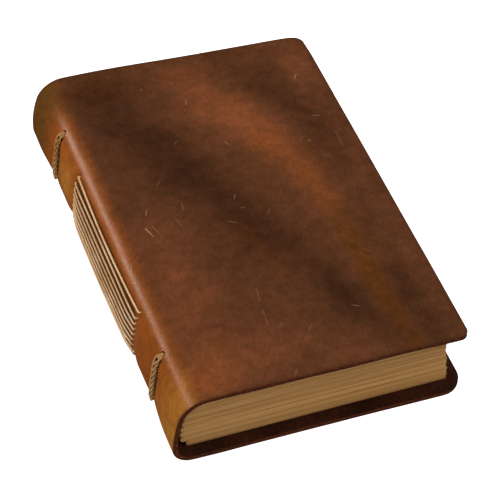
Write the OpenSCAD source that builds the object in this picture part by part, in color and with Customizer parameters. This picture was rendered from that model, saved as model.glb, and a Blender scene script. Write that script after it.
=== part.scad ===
// Hand-sewn leather journal, closed and lying on its back cover.
// X runs from the spine to the fore-edge, Y from the tail to the head, Z up.
// One leather wrap, nine folded signatures and one continuous sewing thread.

/* [Leather cover] */
// Height of the cover, from its tail edge to its head edge
cover_h = 216; // [150:1:300]
// Width of the cover, from the back of the spine to the fore-edge
cover_w = 139.7; // [110:0.1:200]
// Thickness of the leather
leather_t = 2.4; // [1.6:0.1:3.2]
// Radius of the front cover's two free corners
front_corner_r = 4; // [1:0.5:20]
// Radius of the back cover's two free corners
back_corner_r = 10; // [1:0.5:20]
// How much lower the front cover's head edge lies at the fore-edge than at the spine
head_skew = 3.6; // [0:0.2:5]
// How far the back cover reaches past the front cover at the fore-edge
back_overhang = 1.4; // [0:0.1:4]
// Half of the gap between each cover and the pages
face_gap = 0.1; // [0.05:0.05:0.5]

/* [Spine] */
// Outer radius of the bend into the front cover
front_bend_r = 14; // [10:0.5:16]
// Outer radius of the bend into the back cover
back_bend_r = 8; // [5:0.5:12]
// Direction in which the leather leaves the front bend, measured from the fore-edge side
crown_start_a = 165; // [155:1:172]
// Direction in which the leather meets the back bend
crown_end_a = 184; // [182:1:190]
// Flat leather between each bend and its fold line
fold_flat = 3; // [2:0.5:6]
// How far the sewing draws the leather in from one chain to the other
sewn_pull = 1.1; // [0:0.1:1.4]
// How much further the leather is drawn in at the two rows of long stitches
row_pull = 0.9; // [0:0.1:1]
// How much further the leather is drawn in at the two chains
chain_pull = 0.5; // [0:0.1:1]
// Length of leather beside a row or chain that is drawn in with it
pull_len = 9; // [5:0.5:12]

/* [Pages] */
// Number of folded signatures
signatures = 9; // [7:1:10]
// Thickness of one signature
signature_t = 3.67; // [3.3:0.01:4.2]
// How much lower the top signature lies at its fold than at its fore-edge
fold_drop = 1.4; // [0:0.1:2]
// Length of page over which the signatures settle from that height
settle_len = 18; // [8:1:30]
// Height of a page
page_h = 203; // [140:1:290]
// How far the fore-edge of the top pages lies inside the front cover's
page_inset = 8; // [3:0.5:16]
// How far the bottom pages stand out past the top ones, as the block leans
page_lean = 3.6; // [0:0.1:6]
// Largest step between one signature and the next at the fore-edge
signature_step = 0.35; // [0:0.05:0.6]
// Space between the folds of the signatures and the spine leather
fold_gap = 2.5; // [2.3:0.1:3.5]

/* [Sewing] */
// Diameter of the sewing thread
thread_d = 1; // [0.8:0.05:1.15]
// Diameter of the holes punched for the long stitches
hole_d = 1.8; // [1.6:0.05:2.1]
// Distance from the tail edge to the tail chain of link stitches
tail_chain_y = 33.7; // [26:0.1:42]
// Distance from the tail edge to the tail row of the long stitches
tail_row_y = 61.7; // [52:0.1:90]
// Distance from the tail edge to the head row of the long stitches
head_row_y = 152.5; // [100:0.5:162]
// Distance from the tail edge to the head chain of link stitches
head_chain_y = 182; // [172:0.5:190]
// How far the tail edge of a slit bows away from its chain
slit_bow = 3.4; // [0:0.1:4]
// Diameter of the round hole at each end of a slit
slit_end_d = 2.5; // [2.4:0.1:3]
// How far the middle of a long stitch stands off the leather
stitch_rise = 0.6; // [0.3:0.05:1.5]
// Depth of the saw cuts across the folds at the sewing stations, past the thread
kerf_margin = 0.5; // [0.3:0.05:1]

/* [Hidden] */
$fn = 48;

leather_colour = [0.40, 0.24, 0.15];
spine_colour = [0.52, 0.31, 0.13];
paper_colour = [0.78, 0.66, 0.45];
thread_colour = [0.86, 0.72, 0.52];

// Whole thickness of the closed book
book_t = signatures * signature_t + 2 * (leather_t + face_gap);

// The spine's section: front bend, shallow crown and back bend, each tangent to the next
crown_r = (book_t - front_bend_r - back_bend_r + front_bend_r * sin(crown_start_a)
    - back_bend_r * sin(crown_end_a)) / (sin(crown_start_a) - sin(crown_end_a));
crown_c = [crown_r, book_t - front_bend_r + (front_bend_r - crown_r) * sin(crown_start_a)];
front_c = crown_c + (crown_r - front_bend_r) * [cos(crown_start_a), sin(crown_start_a)];
back_c = crown_c + (crown_r - back_bend_r) * [cos(crown_end_a), sin(crown_end_a)];

// Fold lines of the two covers
front_fold_x = front_c[0] + fold_flat;
back_fold_x = back_c[0] + fold_flat;

// Length round the spine's outside at which each stretch ends, from the front fold line
function arc_len(r, a) = r * a * PI / 180;
front_end_s = fold_flat + arc_len(front_bend_r, crown_start_a - 90);
crown_end_s = front_end_s + arc_len(crown_r, crown_end_a - crown_start_a);
back_end_s = crown_end_s + arc_len(back_bend_r, 270 - crown_end_a);
spine_s = back_end_s + fold_flat;

// Direction of the outward normal at length s round the spine
function normal_a(s) =
    s < fold_flat ? 90 :
    s < front_end_s ? 90 + (s - fold_flat) / arc_len(front_bend_r, 1) :
    s < crown_end_s ? crown_start_a + (s - front_end_s) / arc_len(crown_r, 1) :
    s < back_end_s ? crown_end_a + (s - crown_end_s) / arc_len(back_bend_r, 1) : 270;

// Point of the section at length s round the spine and height n above the leather
function section_at(s, n) =
    let (u = [cos(normal_a(s)), sin(normal_a(s))])
    s < fold_flat ? [front_fold_x - s, book_t + n] :
    s < front_end_s ? front_c + (front_bend_r + n) * u :
    s < crown_end_s ? crown_c + (crown_r + n) * u :
    s < back_end_s ? back_c + (back_bend_r + n) * u : [back_c[0] + s - back_end_s, -n];

// The same point in space, at distance y from the tail edge
function on_spine(s, y, n) = let (p = section_at(s, n)) [p[0], y, p[1]];

// Length round the spine at which its outside has height z
front_end_z = section_at(front_end_s, 0)[1];
crown_end_z = section_at(crown_end_s, 0)[1];
function s_at_z(z) =
    z > front_end_z ?
        fold_flat + arc_len(front_bend_r, 90 - asin((z - front_c[1]) / front_bend_r)) :
    z > crown_end_z ?
        front_end_s + arc_len(crown_r, 180 - asin((z - crown_c[1]) / crown_r) - crown_start_a) :
        crown_end_s + arc_len(back_bend_r, 180 - asin((z - back_c[1]) / back_bend_r) - crown_end_a);

// Inside of the leather, or a line deeper than it, at height z
function inner_x(z, depth) =
    z > front_c[1] + (front_bend_r - depth) * sin(crown_start_a) ?
        front_c[0] - sqrt(max(0, pow(front_bend_r - depth, 2) - pow(z - front_c[1], 2))) :
    z > back_c[1] + (back_bend_r - depth) * sin(crown_end_a) ?
        crown_c[0] - sqrt(pow(crown_r - depth, 2) - pow(z - crown_c[1], 2)) :
        back_c[0] - sqrt(max(0, pow(back_bend_r - depth, 2) - pow(z - back_c[1], 2)));

// Signatures, counted from the back cover up
function signature_z(i) = leather_t + face_gap + (i + 0.5) * signature_t;
fold_pitch = signature_t - fold_drop / (signatures - 1);
function fold_z(i) = signature_z(i) - fold_drop * i / (signatures - 1);
fold_r = fold_pitch / 2;
fold_reach = fold_r * 0.75;
function fold_x(i) =
    let (z = fold_z(i))
    max(inner_x(z + fold_reach, leather_t), inner_x(z - fold_reach, leather_t)) + fold_gap;
function fore_x(i) =
    let (up = i / (signatures - 1))
    cover_w - page_inset + page_lean * (1 - up) + signature_step * (sin(i * 137) - 1);

// The gutter inside each fold, in which the thread runs
gutter_r = thread_d / 2 + 0.15;
gutter_in = fold_r;
function gutter_x(i) = fold_x(i) + gutter_in;

page_y = (cover_h - page_h) / 2;
tail_turn_y = page_y + 8;
head_turn_y = cover_h - page_y - 8;

// A link's two strands leave the slit this far from its middle and pass the link above this far out.
// The loop stands off the leather where it starts and dips into the slit where it hooks.
thread_r = thread_d / 2;
stem_y = thread_r + 0.03;
pass_y = stem_y + thread_d + 0.1;
hook_drop = thread_d + 0.25;
link_lift = 1.2 * thread_d;
pass_lift = 0.65 * thread_d;
link_dip = 0.6 * thread_d;
turn_in = 0.3;
turn_reach = 2.4;
thread_sides = 6;

// The sewn spine stands proud of the leather, so the middle of the book is worked out from there
stitch_clear = 0.15;
proud = max(0, stitch_rise + stitch_clear + thread_d - sewn_pull);
middle = [(cover_w + back_overhang - proud) / 2, cover_h / 2, 0];

module placed() {
    translate(-middle) children();
}

// How far the leather is drawn in at length s round the spine and distance y from the tail
ease_len = 22;
function ease(t) = pow(sin(90 * max(0, min(1, t))), 2);
function bell(d) = ease(1 - abs(d));
function side_fade(s) =
    ease(min((s - 0.55 * front_end_s) / front_end_s, (spine_s - fold_flat - s) / (0.45 * front_end_s)));
function sewn_fade(y) =
    ease(min((y - tail_chain_y) / ease_len, (head_chain_y - y) / ease_len) + 1);
function beside(y, place) = bell((y - place) / pull_len);
function pull_at(s, y) = side_fade(s) * (sewn_pull * sewn_fade(y)
    + row_pull * (beside(y, tail_row_y) + beside(y, head_row_y))
    + chain_pull * (beside(y, tail_chain_y) + beside(y, head_chain_y)));

// Leather plate with two rounded free corners, drawn on the table. Its head edge runs down by skew.
module cover_plate(fold_x, edge_x, corner_r, skew) {
    a = atan(skew / (edge_x - fold_x));
    turn_x = edge_x - corner_r;
    head_y = cover_h - (turn_x - fold_x) * tan(a) - corner_r / cos(a);
    linear_extrude(leather_t) {
        polygon([[fold_x, 0], [turn_x, 0], [edge_x, corner_r], [edge_x, head_y],
            [turn_x + corner_r * sin(a), head_y + corner_r * cos(a)], [fold_x, cover_h]]);
        for (y = [corner_r, head_y]) translate([turn_x, y]) circle(corner_r);
    }
}

module front_cover() {
    color(leather_colour) placed() translate([0, 0, book_t - leather_t])
        cover_plate(front_fold_x, cover_w, front_corner_r, head_skew);
}

module back_cover() {
    color(leather_colour) placed() cover_plate(back_fold_x, cover_w + back_overhang, back_corner_r, 0);
}

// Lengths round the spine and distances from the tail at which the leather has its points
front_steps = 10;
crown_steps = 5;
back_steps = 8;
round_s = concat(
    [0],
    [for (k = [0:front_steps]) fold_flat + (front_end_s - fold_flat) * k / front_steps],
    [for (k = [1:crown_steps]) front_end_s + (crown_end_s - front_end_s) * k / crown_steps],
    [for (k = [1:back_steps]) crown_end_s + (back_end_s - crown_end_s) * k / back_steps],
    [spine_s]);
pull_steps = 4;
function ys_beside(place) = [for (k = [-pull_steps:pull_steps]) place + pull_len * k / pull_steps];
along_y = concat(
    [0, tail_chain_y - ease_len, tail_chain_y - 0.7 * ease_len],
    ys_beside(tail_chain_y), ys_beside(tail_row_y), ys_beside(head_row_y), ys_beside(head_chain_y),
    [head_chain_y + 0.7 * ease_len, head_chain_y + ease_len, cover_h]);

// Closed shell through a grid of points: rows along Y, each a ring round the leather's section
module ring_loft(rings) {
    n = len(rings[0]);
    last = len(rings) - 1;
    sides = [for (j = [0:last - 1], k = [0:n - 1])
        let (a = j * n + k, b = j * n + (k + 1) % n)
        each [[a, b, b + n], [a, b + n, a + n]]];
    half = n / 2;
    ends = [for (k = [0:half - 2])
        let (o = k, i = n - 1 - k)
        each [[o, i, o + 1], [o + 1, i, i - 1],
            [last * n + o, last * n + o + 1, last * n + i],
            [last * n + o + 1, last * n + i - 1, last * n + i]]];
    polyhedron([for (ring = rings, p = ring) p], concat(sides, ends));
}

function leather_ring(y) = concat(
    [for (s = round_s) on_spine(s, y, -pull_at(s, y))],
    [for (k = [len(round_s) - 1:-1:0])
        let (s = round_s[k]) on_spine(s, y, -leather_t - pull_at(s, y))]);

// One slit across the spine. It ends in a round hole in each bend, and its tail edge bows
// away from the chain, which lies along its head edge.
hole_above = 2.6;
hole_below = 1.3;
widen_len = 1.2;
slit_side = 0.85 * pass_y + thread_r + 0.15;
front_hole_s = s_at_z(fold_z(signatures - 1)) - hole_above;
back_hole_s = s_at_z(fold_z(0)) + hole_below;
slit_top_z = section_at(front_hole_s, 0)[1];
slit_bottom_z = section_at(back_hole_s, 0)[1];
slit_steps = 10;
slit_zs = concat([slit_bottom_z],
    [for (k = [0:slit_steps])
        slit_bottom_z + widen_len + (slit_top_z - slit_bottom_z - 2 * widen_len) * k / slit_steps],
    [slit_top_z]);
function half_slit(z) =
    let (open = max(0, min(1, min(slit_top_z - z, z - slit_bottom_z) / widen_len)))
    0.48 * slit_end_d + (slit_side - 0.48 * slit_end_d) * open;
function slit_bow_at(z) = slit_bow * sin(180 * (z - slit_bottom_z) / (slit_top_z - slit_bottom_z));
module end_hole(s, y) {
    p = on_spine(s, y, -2 * leather_t);
    translate(p) rotate([0, 90 - normal_a(s), 0]) cylinder(h = 4 * leather_t, d = slit_end_d);
}
module chain_slit(y) {
    translate([-leather_t, y, 0]) rotate([90, 0, 90]) linear_extrude(leather_t + front_c[0]) polygon(concat(
        [for (z = slit_zs) [half_slit(z), z]],
        [for (k = [len(slit_zs) - 1:-1:0]) [-half_slit(slit_zs[k]) - slit_bow_at(slit_zs[k]), slit_zs[k]]]));
    end_hole(front_hole_s, y);
    end_hole(back_hole_s, y);
}

// Punched hole for the long stitch of one signature, level with its fold
module stitch_hole(i, y) {
    z = fold_z(i);
    from = section_at(s_at_z(z), 0)[0] - leather_t;
    translate([from, y, z]) rotate([0, 90, 0]) cylinder(h = fold_x(i) - from, d = hole_d);
}

module spine() {
    color(spine_colour) placed() difference() {
        ring_loft([for (y = along_y) leather_ring(y)]);
        for (y = [tail_chain_y, head_chain_y]) chain_slit(y);
        for (i = [0:signatures - 1], y = [tail_row_y, head_row_y]) stitch_hole(i, y);
    }
}

// The block in section: square and stepped at the fore-edge, rounded at each fold.
// The signatures settle from the height of their folds to their places in the block.
settle_x = max(fold_x(0), fold_x(signatures - 1)) + fold_r + 1;
settle_steps = 6;
function settled(i, side) = [for (k = [0:settle_steps])
    let (t = k / settle_steps, half = fold_r + (signature_t / 2 - fold_r) * ease(t))
    [settle_x + settle_len * t, fold_z(i) + (signature_z(i) - fold_z(i)) * ease(t) + side * half]];
module block_section() {
    last = signatures - 1;
    half = signature_t / 2;
    polygon(concat(
        settled(0, -1),
        [for (i = [0:last], side = [-1, 1]) [fore_x(i), signature_z(i) + side * half]],
        reversed(settled(last, 1)),
        [for (i = [last:-1:0], side = [1, -1]) [fold_x(i) + fold_r, fold_z(i) + side * fold_r]]));
    for (i = [0:last]) translate([fold_x(i) + fold_r, fold_z(i)]) circle(fold_r);
}

// Saw cut across all the folds at a sewing station, deep enough to free the thread
module kerf(y, w) {
    depth = gutter_in + thread_r + kerf_margin;
    for (i = [0:signatures - 1])
        translate([fold_x(i) - 1, y - w / 2, fold_z(i) - fold_r])
            cube([1 + depth, w, fold_pitch]);
}

module pages() {
    single_w = thread_d + 1.3;
    chain_w = 3 * thread_d + 0.6;
    color(paper_colour) placed() difference() {
        translate([0, cover_h - page_y, 0]) rotate([90, 0, 0]) linear_extrude(page_h) difference() {
            block_section();
            for (i = [0:signatures - 1]) translate([gutter_x(i), fold_z(i)]) circle(gutter_r);
        }
        for (y = [tail_row_y, head_row_y, tail_turn_y, head_turn_y]) kerf(y, single_w);
        for (y = [tail_chain_y, head_chain_y]) kerf(y, chain_w);
    }
}

// Tube of round section along a path of points, its rings carried along without twist
function unit(v) = v / norm(v);
function heading(path, k) =
    k == 0 ? unit(path[1] - path[0]) :
    k == len(path) - 1 ? unit(path[k] - path[k - 1]) :
        unit(unit(path[k] - path[k - 1]) + unit(path[k + 1] - path[k]));
function across(v, heading) = unit(v - (v * heading) * heading);
module tube(path, radius, sides) {
    n = len(path);
    headings = [for (k = [0:n - 1]) heading(path, k)];
    side_dirs = [for (k = 0, v = across([0.3, 0.5, 0.8], headings[0]); k < n;
        v = k + 1 < n ? across(v, headings[k + 1]) : v, k = k + 1) v];
    points = [for (k = [0:n - 1], a = [0:sides - 1])
        let (v = side_dirs[k], w = cross(headings[k], v), turn = 360 * a / sides)
        path[k] + radius * (cos(turn) * v + sin(turn) * w)];
    walls = [for (k = [0:n - 2], a = [0:sides - 1])
        let (p = k * sides + a, q = k * sides + (a + 1) % sides)
        each [[p, p + sides, q], [q, p + sides, q + sides]]];
    caps = [[for (a = [0:sides - 1]) a], [for (a = [sides - 1:-1:0]) (n - 1) * sides + a]];
    polyhedron(points, concat(walls, caps));
}

// Thread route through one signature, from the head to the tail
function in_gutter(i, y) = [gutter_x(i), y, fold_z(i)];
function in_hole(i, y, n) = let (z = fold_z(i)) [section_at(s_at_z(z), 0)[0] - n, y, z];
function turn_end(i, y) = [fold_x(i) + turn_in, y, fold_z(i)];
function turn_path(i, next, y) =
    let (a = turn_end(i, y), d = turn_end(next, y), b = a - [turn_reach, 0, 0], c = d - [turn_reach, 0, 0])
    [for (t = [0.2:0.2:0.8])
        pow(1 - t, 3) * a + 3 * t * pow(1 - t, 2) * b + 3 * t * t * (1 - t) * c + pow(t, 3) * d];

// Link stitch: out through the slit, a loop up round both strands of the link above, and back in.
// The first link has none above it and goes straight up into the hole at the slit's end.
function link_half(i, y, side) =
    let (
        first = i == signatures - 1,
        s = s_at_z(fold_z(i)),
        hook = first ? front_hole_s + hook_drop : s_at_z(fold_z(i + 1)),
        stem = side * stem_y,
        pass = first ? stem : side * pass_y
    ) [
        in_gutter(i, y + stem + side * thread_d),
        in_gutter(i, y + stem) - [0.8 * thread_d, 0, 0],
        on_link(s, y, stem, -leather_t),
        on_link(s, y, stem, link_lift - 0.45 * thread_d),
        on_link(s - 0.45 * thread_d, y, stem + 0.05 * side, link_lift),
        on_link((s + hook) / 2, y, 0.3 * stem + 0.7 * pass, (link_lift + pass_lift) / 2),
        on_link(hook, y, pass, pass_lift),
        on_link(hook - 0.7 * hook_drop, y, 0.85 * pass, 0.05),
        on_link(hook - hook_drop, y, 0.3 * pass, -link_dip)
    ];
function on_link(s, y, across, n) = on_spine(s, y + across, n - pull_at(s, y));
function link_stitch(i, y) = concat(link_half(i, y, 1), reversed(link_half(i, y, -1)));

// Long stitch: out at the head row, over the middle of the spine and in at the tail row
function stitch_n(s, y) =
    thread_r + stitch_clear - pull_at(s, y)
    + stitch_rise * sin(180 * (y - tail_row_y) / (head_row_y - tail_row_y));
function dive(i, y, side) =
    let (s = s_at_z(fold_z(i)), pull = pull_at(s, y)) [
        in_gutter(i, y + side * thread_d),
        in_gutter(i, y) - [0.8 * thread_d, 0, 0],
        in_hole(i, y, 0.25 * thread_d - pull),
        on_spine(s, y - 0.6 * side * thread_d, stitch_n(s, y))
    ];
function reversed(list) = [for (k = [len(list) - 1:-1:0]) list[k]];
function long_stitch(i) =
    let (s = s_at_z(fold_z(i)), run = head_row_y - tail_row_y)
    concat(
        dive(i, head_row_y, 1),
        [for (far = [1.5 * thread_d, 0.5 * pull_len, pull_len, 0.25 * run, 0.5 * run,
                0.75 * run, run - pull_len, run - 0.5 * pull_len, run - 1.5 * thread_d])
            on_spine(s, head_row_y - far, stitch_n(s, head_row_y - far))],
        reversed(dive(i, tail_row_y, -1)));

function signature_route(i) = concat(
    [turn_end(i, head_turn_y), in_gutter(i, head_turn_y - thread_d)],
    link_stitch(i, head_chain_y),
    long_stitch(i),
    link_stitch(i, tail_chain_y),
    [in_gutter(i, tail_turn_y + thread_d), turn_end(i, tail_turn_y)]);

// The whole thread: from the front signature to the back one, to and fro
function thread_route() = [for (j = [0:signatures - 1])
    let (i = signatures - 1 - j, route = signature_route(i), down = j % 2 == 0)
    each concat(down ? route : reversed(route),
        i > 0 ? turn_path(i, i - 1, down ? tail_turn_y : head_turn_y) : [])];

module sewing_thread() {
    color(thread_colour) placed() tube(thread_route(), thread_r, thread_sides);
}

front_cover();
spine();
back_cover();
pages();
sewing_thread();
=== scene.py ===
"""Hand-sewn leather journal: soft leather wrap, sewn text block and thread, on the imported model."""

from __future__ import annotations

import logging
import math
from dataclasses import dataclass
from enum import Enum
from typing import Iterable, Sequence

import bmesh
import bpy
import numpy as np
from mathutils import Matrix, Vector, noise

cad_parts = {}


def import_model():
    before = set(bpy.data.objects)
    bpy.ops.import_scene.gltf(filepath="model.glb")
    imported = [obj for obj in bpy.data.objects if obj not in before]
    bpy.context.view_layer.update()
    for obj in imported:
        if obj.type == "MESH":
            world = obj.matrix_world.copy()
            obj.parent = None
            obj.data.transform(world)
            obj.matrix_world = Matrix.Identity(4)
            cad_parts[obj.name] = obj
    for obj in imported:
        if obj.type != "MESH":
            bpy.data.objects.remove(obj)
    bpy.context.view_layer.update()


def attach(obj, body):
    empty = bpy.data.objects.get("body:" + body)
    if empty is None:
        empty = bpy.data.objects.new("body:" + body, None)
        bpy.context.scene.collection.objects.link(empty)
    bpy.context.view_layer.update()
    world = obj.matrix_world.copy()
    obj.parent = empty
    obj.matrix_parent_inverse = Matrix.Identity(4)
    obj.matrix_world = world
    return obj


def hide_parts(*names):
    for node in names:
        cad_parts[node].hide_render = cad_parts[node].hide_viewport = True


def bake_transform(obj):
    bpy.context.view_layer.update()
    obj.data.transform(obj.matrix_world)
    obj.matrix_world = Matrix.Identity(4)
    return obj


log = logging.getLogger("journal")

MM = 0.001
Colour = tuple[float, float, float]
Span = tuple[float, float]
Socket = bpy.types.NodeSocket


class Body(Enum):
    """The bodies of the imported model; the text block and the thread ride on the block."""

    BLOCK = "block"
    FRONT = "front_cover"
    BACK = "back_cover"


class Side(Enum):
    """The two halves that the leather wrap is dressed in."""

    FRONT = "front"
    BACK = "back"


class Skin(Enum):
    """Material slots of a leather piece, in order."""

    GRAIN = 0
    FLESH = 1
    CUT = 2


def srgb(red: int, green: int, blue: int) -> Colour:
    """Linear colour of an sRGB colour.

    Args:
        red: red from 0 to 255.
        green: green from 0 to 255.
        blue: blue from 0 to 255.

    Returns:
        The colour as Blender's sockets take it.
    """
    return tuple(
        c / 12.92 if c <= 0.04045 else ((c + 0.055) / 1.055) ** 2.4
        for c in (red / 255, green / 255, blue / 255)
    )


def smooth(value: np.ndarray, low: float, high: float) -> np.ndarray:
    """Smooth step of an array from 0 at low to 1 at high."""
    t = np.clip((value - low) / (high - low), 0, 1)
    return t * t * (3 - 2 * t)


def ease(share: np.ndarray) -> np.ndarray:
    """Soft step of a share from 0 to 1."""
    return np.sin(math.pi / 2 * np.clip(share, 0, 1)) ** 2


def field_noise(x: np.ndarray, y: np.ndarray, size: float, seed: float) -> np.ndarray:
    """Smooth noise over two coordinates.

    Args:
        x: first coordinate, in millimetres.
        y: second coordinate, in millimetres.
        size: size of one patch, in millimetres.
        seed: offset that picks the pattern.

    Returns:
        Values between about -1 and 1.
    """
    flat = [
        noise.noise(Vector((a / size, b / size, seed)))
        for a, b in zip(np.ravel(x), np.ravel(y))
    ]
    return np.array(flat).reshape(np.shape(x))


@dataclass(frozen=True)
class BookSizes:
    """Sizes of the closed journal in millimetres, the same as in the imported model."""

    cover_h: float = 216.0
    cover_w: float = 139.7
    leather_t: float = 2.4
    front_corner_r: float = 4.0
    back_corner_r: float = 10.0
    head_skew: float = 3.6
    back_overhang: float = 1.4
    face_gap: float = 0.1
    front_bend_r: float = 14.0
    back_bend_r: float = 8.0
    crown_start_a: float = 165.0
    crown_end_a: float = 184.0
    fold_flat: float = 3.0
    sewn_pull: float = 1.1
    row_pull: float = 0.9
    chain_pull: float = 0.5
    pull_len: float = 9.0
    pull_from: float = 0.55
    pull_to: float = 0.45
    ease_len: float = 22.0
    signatures: int = 9
    signature_t: float = 3.67
    fold_drop: float = 1.4
    settle_len: float = 18.0
    page_h: float = 203.0
    page_inset: float = 8.0
    page_lean: float = 3.6
    signature_step: float = 0.35
    fold_gap: float = 2.5
    thread_d: float = 1.0
    hole_d: float = 1.8
    tail_chain_y: float = 33.7
    tail_row_y: float = 61.7
    head_row_y: float = 152.5
    head_chain_y: float = 182.0
    slit_bow: float = 3.4
    slit_end_d: float = 2.5
    slit_widen: float = 1.2
    hole_above: float = 2.6
    hole_below: float = 1.3
    stitch_rise: float = 0.6
    stitch_clear: float = 0.15

    @property
    def book_t(self) -> float:
        """Whole thickness of the closed book."""
        return self.signatures * self.signature_t + 2 * (self.leather_t + self.face_gap)

    @property
    def middle(self) -> np.ndarray:
        """Middle of the model, which is the row frame's origin."""
        proud = max(0.0, self.stitch_rise + self.stitch_clear + self.thread_d - self.sewn_pull)
        return np.array([(self.cover_w + self.back_overhang - proud) / 2, self.cover_h / 2, 0.0])

    def placed(self, points: np.ndarray) -> np.ndarray:
        """Points in millimetres from the spine and the tail, turned into metres in the row frame."""
        return (np.asarray(points, float) - self.middle) * MM


def section_ray(angle: float) -> np.ndarray:
    """Unit vector in the section at an angle."""
    return np.array([math.cos(angle), math.sin(angle)])


class Wrap:
    """The leather's section: front bend, shallow crown and back bend, each tangent to the next."""

    def __init__(self, sizes: BookSizes) -> None:
        """Work out the bends' centres and the lengths round the spine.

        Args:
            sizes: the journal's sizes.
        """
        self.sizes = sizes
        z = sizes
        first, last = math.radians(z.crown_start_a), math.radians(z.crown_end_a)
        self.first, self.last = first, last
        rise = z.book_t - z.front_bend_r - z.back_bend_r
        rise += z.front_bend_r * math.sin(first) - z.back_bend_r * math.sin(last)
        self.crown_r = rise / (math.sin(first) - math.sin(last))
        crown_z = z.book_t - z.front_bend_r + (z.front_bend_r - self.crown_r) * math.sin(first)
        self.crown_c = np.array([self.crown_r, crown_z])
        self.front_c = self.crown_c + (self.crown_r - z.front_bend_r) * section_ray(first)
        self.back_c = self.crown_c + (self.crown_r - z.back_bend_r) * section_ray(last)
        self.front_fold_x = self.front_c[0] + z.fold_flat
        self.back_fold_x = self.back_c[0] + z.fold_flat
        self.front_end_s = z.fold_flat + z.front_bend_r * (first - math.pi / 2)
        self.crown_end_s = self.front_end_s + self.crown_r * (last - first)
        self.back_end_s = self.crown_end_s + z.back_bend_r * (1.5 * math.pi - last)
        self.spine_s = self.back_end_s + z.fold_flat

    def normal_angle(self, s: np.ndarray) -> np.ndarray:
        """Direction of the outward normal.

        Args:
            s: lengths round the wrap from the front fold line.

        Returns:
            Angles in the section, in radians.
        """
        z = self.sizes
        knots = [z.fold_flat, self.front_end_s, self.crown_end_s, self.back_end_s]
        return np.interp(s, knots, [math.pi / 2, self.first, self.last, 1.5 * math.pi])

    def section(self, s: np.ndarray, n: np.ndarray) -> np.ndarray:
        """Points of the section at length s round the wrap and height n above the leather.

        Args:
            s: length from the front fold line, below 0 on the front cover and past spine_s on the back one.
            n: height above the leather's outside.

        Returns:
            An array of x and z.
        """
        s, n = np.broadcast_arrays(np.asarray(s, float), np.asarray(n, float))
        a = self.normal_angle(s)
        z = self.sizes
        ray = np.stack([np.cos(a), np.sin(a)], -1)
        out = self.front_c + (z.front_bend_r + n)[..., None] * ray
        crown = self.crown_c + (self.crown_r + n)[..., None] * ray
        back = self.back_c + (z.back_bend_r + n)[..., None] * ray
        out = np.where((s > self.front_end_s)[..., None], crown, out)
        out = np.where((s > self.crown_end_s)[..., None], back, out)
        top = np.stack([self.front_fold_x - s, z.book_t + n], -1)
        bottom = np.stack([self.back_c[0] + s - self.back_end_s, -n], -1)
        out = np.where((s < z.fold_flat)[..., None], top, out)
        return np.where((s > self.back_end_s)[..., None], bottom, out)

    def on_spine(self, s: float, y: float, n: float) -> np.ndarray:
        """One point at length s round the spine, distance y from the tail and height n."""
        x, z = self.section(np.array(s), np.array(n))
        return np.array([x, y, z])

    def length_at(self, x: np.ndarray, z: np.ndarray) -> np.ndarray:
        """Length round the wrap of points that lie on it or in it.

        Args:
            x: distances of the points from the spine.
            z: their heights.

        Returns:
            Their lengths from the front fold line.
        """
        sizes = self.sizes
        a_front = np.mod(np.arctan2(z - self.front_c[1], x - self.front_c[0]), 2 * math.pi)
        a_crown = np.mod(np.arctan2(z - self.crown_c[1], x - self.crown_c[0]), 2 * math.pi)
        a_back = np.mod(np.arctan2(z - self.back_c[1], x - self.back_c[0]), 2 * math.pi)
        s = self.front_end_s + (a_crown - self.first) * self.crown_r
        bend = sizes.fold_flat + (a_front - math.pi / 2) * sizes.front_bend_r
        s = np.where(a_crown < self.first, bend, s)
        bend = self.crown_end_s + (a_back - self.last) * sizes.back_bend_r
        s = np.where(a_crown > self.last, bend, s)
        upper = z > sizes.book_t / 2
        s = np.where(upper & (x > self.front_c[0]), self.front_fold_x - x, s)
        return np.where(~upper & (x > self.back_c[0]), self.back_end_s + x - self.back_c[0], s)

    def s_at_z(self, z: float) -> float:
        """Length round the spine at one height.

        Args:
            z: height of the leather's outside.

        Returns:
            The length from the front fold line.
        """
        sizes = self.sizes
        if z > self.section(np.array(self.front_end_s), np.array(0.0))[1]:
            a = math.pi - math.asin((z - self.front_c[1]) / sizes.front_bend_r)
            return sizes.fold_flat + (a - math.pi / 2) * sizes.front_bend_r
        if z > self.section(np.array(self.crown_end_s), np.array(0.0))[1]:
            a = math.pi - math.asin((z - self.crown_c[1]) / self.crown_r)
            return self.front_end_s + (a - self.first) * self.crown_r
        a = math.pi - math.asin((z - self.back_c[1]) / sizes.back_bend_r)
        return self.crown_end_s + (a - self.last) * sizes.back_bend_r

    def inner_x(self, z: float) -> float:
        """Place of the leather's inside at one height.

        Args:
            z: the height.

        Returns:
            Its distance from the spine's outside.
        """
        sizes = self.sizes
        depth = sizes.leather_t
        front_r = sizes.front_bend_r - depth
        back_r = sizes.back_bend_r - depth
        if z > self.front_c[1] + front_r * math.sin(self.first):
            return self.front_c[0] - math.sqrt(max(0.0, front_r**2 - (z - self.front_c[1]) ** 2))
        if z > self.back_c[1] + back_r * math.sin(self.last):
            return self.crown_c[0] - math.sqrt((self.crown_r - depth) ** 2 - (z - self.crown_c[1]) ** 2)
        return self.back_c[0] - math.sqrt(max(0.0, back_r**2 - (z - self.back_c[1]) ** 2))

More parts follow.
